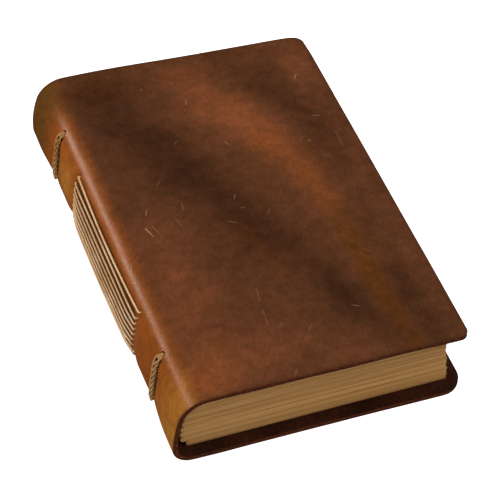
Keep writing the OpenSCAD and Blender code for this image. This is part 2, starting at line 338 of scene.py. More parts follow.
    def pull(self, s: np.ndarray, y: np.ndarray) -> np.ndarray:
        """How far the sewing draws the leather in.

        Args:
            s: lengths round the wrap.
            y: distances from the tail.

        Returns:
            The depth at each place.
        """
        z = self.sizes
        up = s / self.front_end_s - z.pull_from
        down = (self.spine_s - z.fold_flat - s) / (z.pull_to * self.front_end_s)
        sewn = np.minimum(y - z.tail_chain_y, z.head_chain_y - y) / z.ease_len + 1
        depth = z.sewn_pull * ease(sewn)
        for pull, places in (
            (z.row_pull, (z.tail_row_y, z.head_row_y)),
            (z.chain_pull, (z.tail_chain_y, z.head_chain_y)),
        ):
            for place in places:
                depth = depth + pull * ease(1 - np.abs(y - place) / z.pull_len)
        return ease(np.minimum(up, down)) * depth


def new_mesh(name: str, points: np.ndarray, faces: Sequence, sizes: BookSizes) -> bpy.types.Object:
    """Make a linked mesh object at the origin.

    Args:
        name: name of the object.
        points: its points in millimetres from the spine and the tail.
        faces: lists of point numbers, or an array of them.
        sizes: the journal's sizes, which place the points.

    Returns:
        The new object.
    """
    mesh = bpy.data.meshes.new(name)
    corners = faces.tolist() if isinstance(faces, np.ndarray) else faces
    mesh.from_pydata(sizes.placed(points).tolist(), [], corners)
    mesh.update()
    made = bpy.data.objects.new(name, mesh)
    bpy.context.scene.collection.objects.link(made)
    return made


def tube_faces(start: int, count: int) -> list[list[int]]:
    """Faces of a closed tube between two rings of points that follow each other.

    Args:
        start: number of the first ring's first point.
        count: points in a ring.

    Returns:
        The walls, then the two ends.
    """
    end = start + count
    walls = [[start + k, start + (k + 1) % count, end + (k + 1) % count, end + k] for k in range(count)]
    return [*walls, [start + k for k in reversed(range(count))], [end + k for k in range(count)]]


def face_out(mesh: bpy.types.Mesh) -> None:
    """Turn all faces of a closed mesh outward.

    Args:
        mesh: the mesh.
    """
    shape = bmesh.new()
    shape.from_mesh(mesh)
    bmesh.ops.recalc_face_normals(shape, faces=shape.faces)
    shape.to_mesh(mesh)
    shape.free()


def apply_modifiers(obj: bpy.types.Object) -> None:
    """Turn an object's modifiers into its mesh and remove them.

    Args:
        obj: the object.
    """
    bpy.context.view_layer.update()
    graph = bpy.context.evaluated_depsgraph_get()
    result = bpy.data.meshes.new_from_object(obj.evaluated_get(graph))
    old = obj.data
    obj.modifiers.clear()
    obj.data = result
    if old.users == 0 and isinstance(old, bpy.types.Mesh):
        bpy.data.meshes.remove(old)


@dataclass(frozen=True)
class Scratch:
    """One pale scratch on the front cover: its start, run and half width in millimetres, and its strength."""

    x: float
    y: float
    run: float
    rise: float
    half_width: float = 0.4
    strength: float = 0.5


class Shader:
    """Short way to lay out a material's nodes."""

    def __init__(self, name: str) -> None:
        """Start a material with one Principled shader.

        Args:
            name: name of the material.
        """
        self.material = bpy.data.materials.new(name)
        self.material.use_nodes = True
        self.nodes = self.material.node_tree.nodes
        self.links = self.material.node_tree.links
        self.shader = self.nodes["Principled BSDF"]

    def add(self, kind: str, inputs: dict | None = None, **settings: object) -> bpy.types.Node:
        """Add a node.

        Args:
            kind: type of the node.
            inputs: values or sockets for its inputs, by name or number.
            settings: values for its properties.

        Returns:
            The new node.
        """
        node = self.nodes.new(kind)
        for key, value in settings.items():
            setattr(node, key, value)
        for key, value in (inputs or {}).items():
            self.feed(node.inputs[key], value)
        return node

    def feed(self, socket: Socket, value: object) -> None:
        """Link a socket to a socket, or set it to a value.

        Args:
            socket: the input.
            value: a socket, a colour or a plain value.
        """
        if isinstance(value, bpy.types.NodeSocket):
            self.links.new(value, socket)
        elif isinstance(value, tuple) and len(value) == 3 and socket.type == "RGBA":
            socket.default_value = (*value, 1.0)
        else:
            socket.default_value = value

    def set(self, **inputs: object) -> None:
        """Set or link inputs of the main shader, with underscores for spaces."""
        for key, value in inputs.items():
            self.feed(self.shader.inputs[key.replace("_", " ")], value)

    def coordinates(self) -> Socket:
        """Coordinates of the piece itself, in metres."""
        return self.add("ShaderNodeTexCoord").outputs["Object"]

    def mapped(self, scale: tuple, turn: float = 0.0, shift: tuple = (0, 0, 0)) -> Socket:
        """Coordinates of the piece, turned about Z and then scaled.

        Args:
            scale: scale along each axis.
            turn: turn about Z, in degrees.
            shift: move along each axis, after the turn.

        Returns:
            The mapped coordinates.
        """
        turned = self.add(
            "ShaderNodeMapping",
            {"Vector": self.coordinates(), "Rotation": (0, 0, math.radians(turn))},
        )
        return self.add(
            "ShaderNodeMapping",
            {"Vector": turned.outputs[0], "Scale": scale, "Location": shift},
        ).outputs[0]

    def noise(
        self, vector: Socket, scale: float, detail: float = 3.0, rough: float = 0.55, bend: float = 0.0
    ) -> Socket:
        """Noise from 0 to 1.

        Args:
            vector: coordinates.
            scale: patches a metre.
            detail: number of finer layers.
            rough: strength of the finer layers.
            bend: distortion.

        Returns:
            The noise.
        """
        inputs = {"Vector": vector, "Scale": scale, "Detail": detail, "Roughness": rough}
        inputs["Distortion"] = bend
        return self.add("ShaderNodeTexNoise", inputs).outputs["Fac"]

    def band(self, value: Socket, low: float, high: float, to: tuple = (0.0, 1.0)) -> Socket:
        """Smooth step of a value from low to high."""
        inputs = {"Value": value, "From Min": low, "From Max": high, "To Min": to[0], "To Max": to[1]}
        return self.add("ShaderNodeMapRange", inputs, interpolation_type="SMOOTHSTEP").outputs[0]

    def math(self, operation: str, first: object, second: object = 0.0, clamp: bool = False) -> Socket:
        """Result of a sum on one or two values."""
        inputs = {0: first, 1: second}
        return self.add("ShaderNodeMath", inputs, operation=operation, use_clamp=clamp).outputs[0]

    def mix(self, share: object, first: object, second: object, blend: str = "MIX") -> Socket:
        """Mix of two colours.

        Args:
            share: share of the second colour, from 0 to 1.
            first: the first colour.
            second: the second colour.
            blend: way in which the second lies on the first.

        Returns:
            The mixed colour.
        """
        node = self.add("ShaderNodeMix", data_type="RGBA", blend_type=blend)
        self.feed(node.inputs[0], share)
        self.feed(node.inputs[6], first)
        self.feed(node.inputs[7], second)
        return node.outputs[2]

    def attribute(self, name: str) -> Socket:
        """A value that the mesh carries at each point."""
        return self.add("ShaderNodeAttribute", attribute_name=name).outputs["Fac"]

    def bump(self, height: Socket, strength: float, distance: float, under: Socket | None = None) -> Socket:
        """Normal that a height in 0 to 1 gives.

        Args:
            height: the height.
            strength: share of the bump that shows.
            distance: depth of the full height, in metres.
            under: normal that this bump lies on.

        Returns:
            The new normal.
        """
        inputs = {"Height": height, "Strength": strength, "Distance": distance}
        if under is not None:
            inputs["Normal"] = under
        return self.add("ShaderNodeBump", inputs).outputs[0]

    def vector(self, operation: str, inputs: dict) -> bpy.types.Node:
        """Node that does a sum on vectors."""
        return self.add("ShaderNodeVectorMath", inputs, operation=operation)

    def grey(self, value: Socket) -> Socket:
        """A value as a grey colour."""
        return self.add("ShaderNodeCombineXYZ", {0: value, 1: value, 2: value}).outputs[0]

    def scratch(self, mark: Scratch, sizes: BookSizes) -> Socket:
        """How strongly one scratch on the front cover shows.

        Args:
            mark: the scratch.
            sizes: the journal's sizes, which place it.

        Returns:
            Its strength, which fades out across its width.
        """
        top = sizes.book_t
        ends = np.array([[mark.x, mark.y, top], [mark.x + mark.run, mark.y + mark.rise, top]])
        start, end = (Vector(point) for point in sizes.placed(ends))
        way = end - start
        away = self.vector("SUBTRACT", {0: self.coordinates(), 1: start}).outputs[0]
        dot = self.vector("DOT_PRODUCT", {0: away, 1: way / way.length_squared})
        share = self.math("MULTIPLY", dot.outputs["Value"], 1.0, True)
        along = self.vector("SCALE", {0: way, "Scale": share}).outputs[0]
        gap = self.vector("DISTANCE", {0: away, 1: along}).outputs["Value"]
        half = mark.half_width * MM
        return self.band(gap, half, 0.15 * half, (0.0, mark.strength))

    def scuffs(self) -> Socket:
        """Short thin scratches that lie in two directions, a few here and there.

        Returns:
            Where they show, from 0 to 1.
        """
        found = None
        for turn, along in ((35.0, 28.0), (-50.0, 34.0)):
            vector = self.mapped((along, 190.0, 60.0), turn)
            cells = self.add("ShaderNodeTexVoronoi", {"Vector": vector, "Scale": 1.0}).outputs
            mark = self.band(cells["Distance"], 0.11, 0.03)
            pick = self.band(self.add("ShaderNodeSeparateColor", {0: cells["Color"]}).outputs[0], 0.72, 0.8)
            mark = self.math("MULTIPLY", mark, pick)
            found = mark if found is None else self.math("MAXIMUM", found, mark)
        return found


@dataclass(frozen=True)
class GrainFinish:
    """Oiled leather whose colour shifts where it is bent, pulled or rubbed, with a highlight painted along
    the front bend and shade painted under the long stitches.
    """

    dark: Colour = srgb(60, 33, 18)
    brown: Colour = srgb(92, 53, 30)
    red: Colour = srgb(126, 70, 41)
    amber: Colour = (1.25, 1.12, 0.4)
    side: Colour = srgb(140, 72, 18)
    gold: Colour = srgb(178, 122, 44)
    olive: Colour = srgb(92, 58, 16)
    # Dark colour under the long stitches: a stain with painted shade under the threads
    stain: Colour = srgb(70, 32, 8)
    scuff: Colour = srgb(178, 132, 84)
    # Colour of the rubbed front bend and of the highlight painted along it
    rub_and_highlight_colour: Colour = srgb(170, 124, 96)
    sheen: Colour = (1.0, 0.8, 0.66)
    scratches: tuple[Scratch, ...] = (
        Scratch(21.7, 105.4, 1.9, -5.6, 0.5, 0.9),
        Scratch(25.2, 105.8, 1.6, -4.8, 0.4, 0.4),
        Scratch(24.6, 113.5, 1.3, 2.9, 0.45, 0.6),
        Scratch(42.4, 112.3, 0.7, 3.7, 0.4, 0.4),
        Scratch(36.9, 107.3, 1.7, -5.7, 0.4, 0.35),
        Scratch(67.5, 111.6, 1.5, 2.5, 0.5, 0.45),
        Scratch(68.4, 105.0, 2.0, 0.2, 0.5, 0.5),
        Scratch(67.4, 179.8, 1.0, 3.5, 0.5, 0.75),
        Scratch(49.4, 195.6, 0.5, 0.8, 0.6, 0.55),
        Scratch(98.6, 132.5, 2.9, -0.5, 0.5, 0.45),
        Scratch(115.4, 138.4, 1.0, 0.2, 0.6, 0.6),
        Scratch(125.2, 182.0, 1.7, 3.0, 0.45, 0.5),
        Scratch(124.0, 154.8, 3.0, -1.3, 0.5, 0.45),
        Scratch(130.0, 129.8, 0.6, 11.2, 0.5, 0.25),
        Scratch(95.6, 32.5, 3.0, -1.5, 0.5, 0.45),
        Scratch(76.5, 149.8, 1.5, -3.2, 0.45, 0.45),
        Scratch(87.1, 156.0, 5.6, 3.1, 0.4, 0.3),
        Scratch(57.7, 54.7, -1.2, -7.5, 0.5, 0.22),
        Scratch(56.0, 42.0, -1.0, -9.0, 0.5, 0.2),
    )

    def material(self, sizes: BookSizes) -> bpy.types.Material:
        """Build the leather's outer face.

        Args:
            sizes: the journal's sizes, which place the scratches.

        Returns:
            The material.
        """
        sh = Shader("oiled_leather")
        place = sh.coordinates()
        tone, warmth = sh.attribute("tone"), sh.attribute("warmth")
        spine, rub, edge = sh.attribute("spine"), sh.attribute("rub"), sh.attribute("edge")
        cloud = sh.noise(place, 26.0, 5.0, 0.62, 0.4)
        fine = sh.noise(place, 190.0, 5.0, 0.65)
        level = sh.math("ADD", tone, sh.band(cloud, 0.25, 0.75, (-0.17, 0.17)))
        body = sh.mix(sh.band(level, -0.15, 0.6), self.dark, self.brown)
        body = sh.mix(sh.band(level, 0.4, 1.15), body, self.red)
        drift = sh.band(sh.noise(place, 34.0, 4.0, 0.6), 0.4, 0.75, (-0.1, 0.12))
        body = sh.mix(sh.math("ADD", warmth, drift, True), body, self.amber, "MULTIPLY")
        smudge = sh.band(sh.noise(place, 70.0, 4.0, 0.6), 0.35, 0.7, (0.4, 1.0))
        side = sh.mix(sh.math("MULTIPLY", sh.attribute("gold"), smudge, True), self.side, self.gold)
        side = sh.mix(sh.band(tone, 0.45, 0.0), side, self.olive)
        # Darker under the long stitches: a stain with painted shade under the threads
        side = sh.mix(sh.attribute("stain"), side, self.stain)
        body = sh.mix(spine, body, side)
        # Rubbed wear and a painted highlight along the front bend
        body = sh.mix(sh.math("MULTIPLY", rub, 0.22, True), body, self.rub_and_highlight_colour)
        mottle = sh.band(fine, 0.3, 0.7, (0.86, 1.14))
        body = sh.mix(1.0, body, sh.grey(mottle), "MULTIPLY")
        fibres = sh.noise(sh.mapped((1500.0, 420.0, 900.0), 20.0), 1.0, 3.0, 0.6)
        body = sh.mix(1.0, body, sh.grey(sh.band(fibres, 0.35, 0.65, (0.9, 1.1))), "MULTIPLY")
        marks = sh.math("MULTIPLY", sh.scuffs(), 0.2)
        for scratch in self.scratches:
            marks = sh.math("MAXIMUM", marks, sh.scratch(scratch, sizes))
        broken = sh.band(sh.noise(place, 1400.0, 2.0), 0.3, 0.55, (0.45, 1.0))
        marks = sh.math("MULTIPLY", marks, broken, True)
        body = sh.mix(marks, body, self.scuff)
        body = sh.mix(sh.math("MULTIPLY", edge, 0.5, True), body, self.dark)
        pores = sh.add("ShaderNodeTexVoronoi", {"Vector": place, "Scale": 900.0}).outputs["Distance"]
        crease = sh.noise(place, 320.0, 5.0, 0.7)
        normal = sh.bump(pores, 0.2, 0.00018)
        normal = sh.bump(crease, 0.3, 0.00025, normal)
        dull = sh.attribute("dull")
        rough = sh.math("ADD", sh.band(fine, 0.3, 0.75, (0.27, 0.37)), sh.math("MULTIPLY", dull, 0.3))
        sh.set(Base_Color=body, Roughness=rough, Normal=normal, Specular_Tint=self.sheen)
        sh.set(Specular_IOR_Level=sh.band(dull, 0.0, 1.0, (0.11, 0.03)))
        return sh.material


@dataclass(frozen=True)
class FleshFinish:
    """Inside of the leather, dyed through and slightly napped; its colours also carry painted shade and are
    darker than its own brown.
    """

    # Both colours are darkened by painted shade
    dark: Colour = srgb(30, 11, 3)
    light: Colour = srgb(60, 27, 12)

    def material(self) -> bpy.types.Material:
        """Build the leather's inner face.

        Returns:
            The material.
        """
        sh = Shader("flesh_side")
        place = sh.coordinates()
        nap = sh.noise(place, 700.0, 5.0, 0.7)
        cloud = sh.noise(place, 30.0, 3.0)
        share = sh.math("MULTIPLY", sh.math("ADD", nap, cloud), 0.5)
        sh.set(Base_Color=sh.mix(sh.band(share, 0.35, 0.65), self.dark, self.light))
        sh.set(Roughness=0.85, Normal=sh.bump(nap, 0.5, 0.0003), Specular_IOR_Level=0.1)
        return sh.material


@dataclass(frozen=True)
class CutFinish:
    """Cut edge of the leather: dark, with a fibrous core."""

    rim: Colour = srgb(64, 26, 6)
    core: Colour = srgb(112, 54, 16)

    def material(self) -> bpy.types.Material:
        """Build the leather's cut edge.

        Returns:
            The material.
        """
        sh = Shader("cut_edge")
        place = sh.coordinates()
        fibre = sh.noise(place, 900.0, 5.0, 0.7)
        sh.set(Base_Color=sh.mix(sh.band(fibre, 0.4, 0.75), self.rim, self.core))
        sh.set(Roughness=0.62, Normal=sh.bump(fibre, 0.6, 0.0003), Specular_IOR_Level=0.12)
        return sh.material


@dataclass(frozen=True)
class PaperFinish:
    """Uncoated cream paper, seen at the edges of its leaves."""

    sheet: Colour = srgb(204, 156, 92)
    shade: Colour = srgb(160, 112, 54)

    def material(self) -> bpy.types.Material:
        """Build the paper.

        Returns:
            The material.
        """
        sh = Shader("page_paper")
        place = sh.coordinates()
        layers = sh.noise(sh.mapped((14.0, 14.0, 5200.0)), 1.0, 2.0, 0.6)
        bands = sh.noise(sh.mapped((5.0, 5.0, 420.0)), 1.0, 3.0, 0.6)
        share = sh.math("ADD", sh.math("MULTIPLY", layers, 0.5), sh.math("MULTIPLY", bands, 0.5))
        fibre = sh.noise(place, 1400.0, 4.0, 0.6)
        paper = sh.mix(sh.band(share, 0.36, 0.6), self.shade, self.sheet)
        # Darker on the outer sheet of each signature
        crease = sh.attribute("crease")
        paper = sh.mix(sh.math("MULTIPLY", crease, 0.6), paper, self.shade)
        sh.set(Base_Color=paper, Roughness=0.85)
        sh.set(Normal=sh.bump(layers, 0.5, 0.0002, sh.bump(fibre, 0.3, 0.0001)))
        return sh.material


@dataclass(frozen=True)
class ThreadFinish:
    """Thick waxed linen thread, natural and a little darker in its twist."""

    light: Colour = srgb(246, 210, 166)
    dark: Colour = srgb(204, 158, 104)
    chain_colour: Colour = srgb(168, 116, 60)

    def material(self, sizes: BookSizes) -> bpy.types.Material:
        """Build the thread, darker in the chains than in the long stitches.

        Args:
            sizes: the journal's sizes, which say where the chains begin.

        Returns:
            The material.
        """
        sh = Shader("waxed_thread")
        place = sh.coordinates()
        middle = ((sizes.tail_row_y + sizes.head_row_y) / 2 - sizes.middle[1]) * MM
        half = (sizes.head_row_y - sizes.tail_row_y) / 2 * MM
        along = sh.add("ShaderNodeSeparateXYZ", {0: place}).outputs["Y"]
        away = sh.math("ABSOLUTE", sh.math("SUBTRACT", along, middle))
        # Darker towards the chains, beyond the ends of the long stitches
        chain_share = sh.band(away, half + 2 * MM, half + 12 * MM)
        fibre = sh.noise(place, 2600.0, 4.0, 0.7)
        stain = sh.noise(place, 60.0, 3.0, 0.6)
        share = sh.math("MULTIPLY", sh.math("ADD", fibre, stain), 0.5)
        fresh = sh.mix(sh.band(share, 0.36, 0.62), self.dark, self.light)
        sh.set(Base_Color=sh.mix(chain_share, fresh, sh.mix(sh.band(share, 0.4, 0.6), self.chain_colour, self.dark)))
        sh.set(Roughness=0.7, Normal=sh.bump(fibre, 0.5, 0.00012), Specular_IOR_Level=0.2)
        return sh.material


@dataclass(frozen=True)
class Patch:
    """One soft oval patch of the leather where its colour has shifted."""

    x: float
    y: float
    long: float
    wide: float
    turn: float
    tone: float
    warmth: float = 0.0

    def weight(self, x: np.ndarray, y: np.ndarray) -> np.ndarray:
        """How strongly the patch shows.

        Args:
            x: distances from the spine.
            y: distances from the tail.

        Returns:
            The strength at each place, from 0 to 1.
        """
        c, s = math.cos(math.radians(self.turn)), math.sin(math.radians(self.turn))
        along, across = (x - self.x) * c + (y - self.y) * s, (y - self.y) * c - (x - self.x) * s
        return np.exp(-((along / self.long) ** 2) - (across / self.wide) ** 2)


class Sewing:
    """Where the signatures lie and how the thread runs through them, in millimetres."""

    def __init__(self, sizes: BookSizes, wrap: Wrap) -> None:
        """Keep the sizes and work out the link stitches' measures.

        Args:
            sizes: the journal's sizes.
            wrap: the leather's section, which the stitches lie on.
        """
        self.sizes, self.wrap = sizes, wrap
        d = sizes.thread_d
        self.step_down = sizes.fold_drop / (sizes.signatures - 1)
        self.fold_r = (sizes.signature_t - self.step_down) / 2
        self.page_y = (sizes.cover_h - sizes.page_h) / 2
        self.stem = d / 2 + 0.03
        self.reach = self.stem + d + 0.1
        self.drop = d + 0.25
        self.lift, self.side_lift, self.dip = 1.2 * d, 0.65 * d, 0.6 * d
        self.lean = 0.55 * d
        self.chain_bow = 0.9
        # Sideways sag of the four long stitches nearest the front cover, by signature
        self.sag = {8: 0.9, 7: -0.7, 6: -0.4, 5: -0.2}

    def height(self, i: int) -> float:
        """Height of the middle of signature i, counted from the back cover."""
        z = self.sizes
        return z.leather_t + z.face_gap + (i + 0.5) * z.signature_t

    def fold_z(self, i: int) -> float:
        """Height of the fold of signature i."""
        return self.height(i) - self.step_down * i

    def fold_x(self, i: int) -> float:
        """Place of the fold of signature i."""
        z, reach = self.fold_z(i), 0.75 * self.fold_r
        return max(self.wrap.inner_x(z + reach), self.wrap.inner_x(z - reach)) + self.sizes.fold_gap

    def fore_x(self, i: int) -> float:
        """Place of the fore-edge of a signature.

        Args:
            i: its number, counted from the back cover.

        Returns:
            Its distance from the spine.
        """
        z, up = self.sizes, i / (self.sizes.signatures - 1)
        step = z.signature_step * (math.sin(math.radians(i * 137)) - 1)
        return z.cover_w - z.page_inset + z.page_lean * (1 - up) + step

    def slit_ends(self) -> tuple[float, float]:
        """Where the slits start and end.

        Returns:
            Two lengths round the spine.
        """
        z, last = self.sizes, self.sizes.signatures - 1
        first = self.wrap.s_at_z(self.fold_z(last)) - z.hole_above
        return first, self.wrap.s_at_z(self.fold_z(0)) + z.hole_below

    def slit_outline(self) -> list[tuple[float, float]]:
        """Outline of a slit.

        Returns:
            Points as distances from its chain and heights.
        """
        z = self.sizes
        top, bottom = (float(self.wrap.section(np.array(s), np.array(0.0))[1]) for s in self.slit_ends())
        heights = [bottom, *np.linspace(bottom + z.slit_widen, top - z.slit_widen, 21), top]
        wide, narrow = 0.85 * self.reach + z.thread_d / 2 + 0.15, 0.48 * z.slit_end_d
        head, tail = [], []
        for height in heights:
            half = narrow + (wide - narrow) * min(1.0, min(top - height, height - bottom) / z.slit_widen)
            bow = z.slit_bow * math.sin(math.pi * (height - bottom) / (top - bottom))
            head.append((half, float(height)))
            tail.append((-half - bow, float(height)))
        return head + tail[::-1]

    def gutter(self, i: int, y: float, back: float = 0.0) -> np.ndarray:
        """Point in the gutter of signature i, or some way out of it."""
        return np.array([self.fold_x(i) + self.fold_r - back, y, self.fold_z(i)])

    def on_link(self, s: float, y: float, across: float, n: float) -> np.ndarray:
        """Point of a link stitch above the leather as the sewing draws it in.

        Args:
            s: length round the spine.
            y: place of the chain.
            across: distance from the chain's middle line.
            n: height above the drawn leather.

        Returns:
            The point.
        """
        first, last = self.slit_ends()
        share = min(1.0, max(0.0, (s - first) / (last - first)))
        pull = float(self.wrap.pull(np.array(s), np.array(y)))
        return self.wrap.on_spine(s, y + across - self.chain_bow * math.sin(math.pi * share), n - pull)

    def link(self, i: int, y: float) -> list[np.ndarray]:
        """Link stitch: out through the slit, a loop up round the link above and back in.

        Args:
            i: number of the signature.
            y: place of the chain.

        Returns:
            The stitch's points, from the head side to the tail side.
        """
        z, d = self.sizes, self.sizes.thread_d
        s = self.wrap.s_at_z(self.fold_z(i))
        top = i == z.signatures - 1
        hook = self.slit_ends()[0] + self.drop if top else self.wrap.s_at_z(self.fold_z(i + 1))
        between, middle_lift = (s + hook) / 2, (self.lift + self.side_lift) / 2
        halves = []
        for side in (1, -1):
            stem = side * self.stem
            reach = stem if top else side * 0.9 * self.reach
            lean = 0.0 if top else side * self.lean
            halves.append(
                [
                    self.gutter(i, y + stem + side * d),
                    self.gutter(i, y + stem, 0.8 * d),
                    self.on_link(s, y, stem, -z.leather_t),
                    self.on_link(s + lean, y, stem, self.lift - 0.45 * d),
                    self.on_link(s + lean - 0.45 * d, y, stem + 0.05 * side, self.lift),
                    self.on_link(between + lean, y, 0.3 * stem + 0.7 * reach, middle_lift),
                    self.on_link(hook + lean, y, reach, self.side_lift),
                    self.on_link(hook + lean - 0.7 * self.drop, y, 0.85 * reach, 0.05),
                    self.on_link(hook + lean - self.drop, y, 0.3 * reach, -self.dip),
                ]
            )
        return halves[0] + halves[1][::-1]

    def stitch_n(self, s: float, y: float) -> float:
        """Height of a long stitch above the leather's plain shape.

        Args:
            s: length round the spine.
            y: distance from the tail.

        Returns:
            The height.
        """
        z = self.sizes
        share = (y - z.tail_row_y) / (z.head_row_y - z.tail_row_y)
        pull = float(self.wrap.pull(np.array(s), np.array(y)))
        return z.thread_d / 2 + z.stitch_clear - pull + z.stitch_rise * math.sin(math.pi * share)

    def dive(self, i: int, y: float, side: int) -> list[np.ndarray]:
        """The way out of a signature and through its hole.

        Args:
            i: number of the signature.
            y: place of the row of holes.
            side: 1 where the thread comes from the head, -1 where it comes from the tail.

        Returns:
            The points, from the gutter outward.
        """
        d, s = self.sizes.thread_d, self.wrap.s_at_z(self.fold_z(i))
        x = float(self.wrap.section(np.array(s), np.array(0.0))[0])
        pull = float(self.wrap.pull(np.array(s), np.array(y)))
        return [
            self.gutter(i, y + side * d),
            self.gutter(i, y, 0.8 * d),
            np.array([x - 0.25 * d + pull, y, self.fold_z(i)]),
            self.wrap.on_spine(s, y - 0.6 * side * d, self.stitch_n(s, y)),
        ]

    def long_stitch(self, i: int) -> list[np.ndarray]:
        """Long stitch: out at the head row, over the middle of the spine and in at the tail row.

        Args:
            i: number of the signature.

        Returns:
            The stitch's points.
        """
        z, d = self.sizes, self.sizes.thread_d
        s, run = self.wrap.s_at_z(self.fold_z(i)), z.head_row_y - z.tail_row_y
        near = [1.5 * d, 0.5 * z.pull_len, z.pull_len, 0.25 * run]
        fars = near + [0.5 * run] + [run - far for far in reversed(near)]
        over = []
        for far in fars:
            y = z.head_row_y - far
            place = s + self.sag.get(i, 0.0) * math.sin(math.pi * far / run)
            over.append(self.wrap.on_spine(place, y, self.stitch_n(place, y)))
        return self.dive(i, z.head_row_y, 1) + over + self.dive(i, z.tail_row_y, -1)[::-1]

    def turn_end(self, i: int, y: float) -> np.ndarray:
        """Point at which the thread leaves a gutter to reach the next signature."""
        return np.array([self.fold_x(i) + 0.3, y, self.fold_z(i)])

    def turn(self, i: int, y: float) -> list[np.ndarray]:
        """The way from one signature down to the next.

        Args:
            i: number of the signature that it leaves.
            y: place of the turn.

        Returns:
            Four points on a soft loop.
        """
        a, d = self.turn_end(i, y), self.turn_end(i - 1, y)
        out = np.array([2.4, 0, 0])
        b, c = a - out, d - out
        return [
            (1 - t) ** 3 * a + 3 * t * (1 - t) ** 2 * b + 3 * t * t * (1 - t) * c + t**3 * d
            for t in (0.2, 0.4, 0.6, 0.8)
        ]

    def route(self) -> np.ndarray:
        """The whole thread's way, from the front signature to the back one, to and fro.

        Returns:
            Its points.
        """
        z = self.sizes
        tail, head = self.page_y + 8, z.cover_h - self.page_y - 8
        points: list[np.ndarray] = []
        for step in range(z.signatures):
            i = z.signatures - 1 - step
            way = [self.turn_end(i, head), self.gutter(i, head - z.thread_d)]
            way += self.link(i, z.head_chain_y) + self.long_stitch(i) + self.link(i, z.tail_chain_y)
            way += [self.gutter(i, tail + z.thread_d), self.turn_end(i, tail)]
            down = step % 2 == 0
            points += way if down else way[::-1]
            if i:
                points += self.turn(i, tail if down else head)
        return np.array(points)


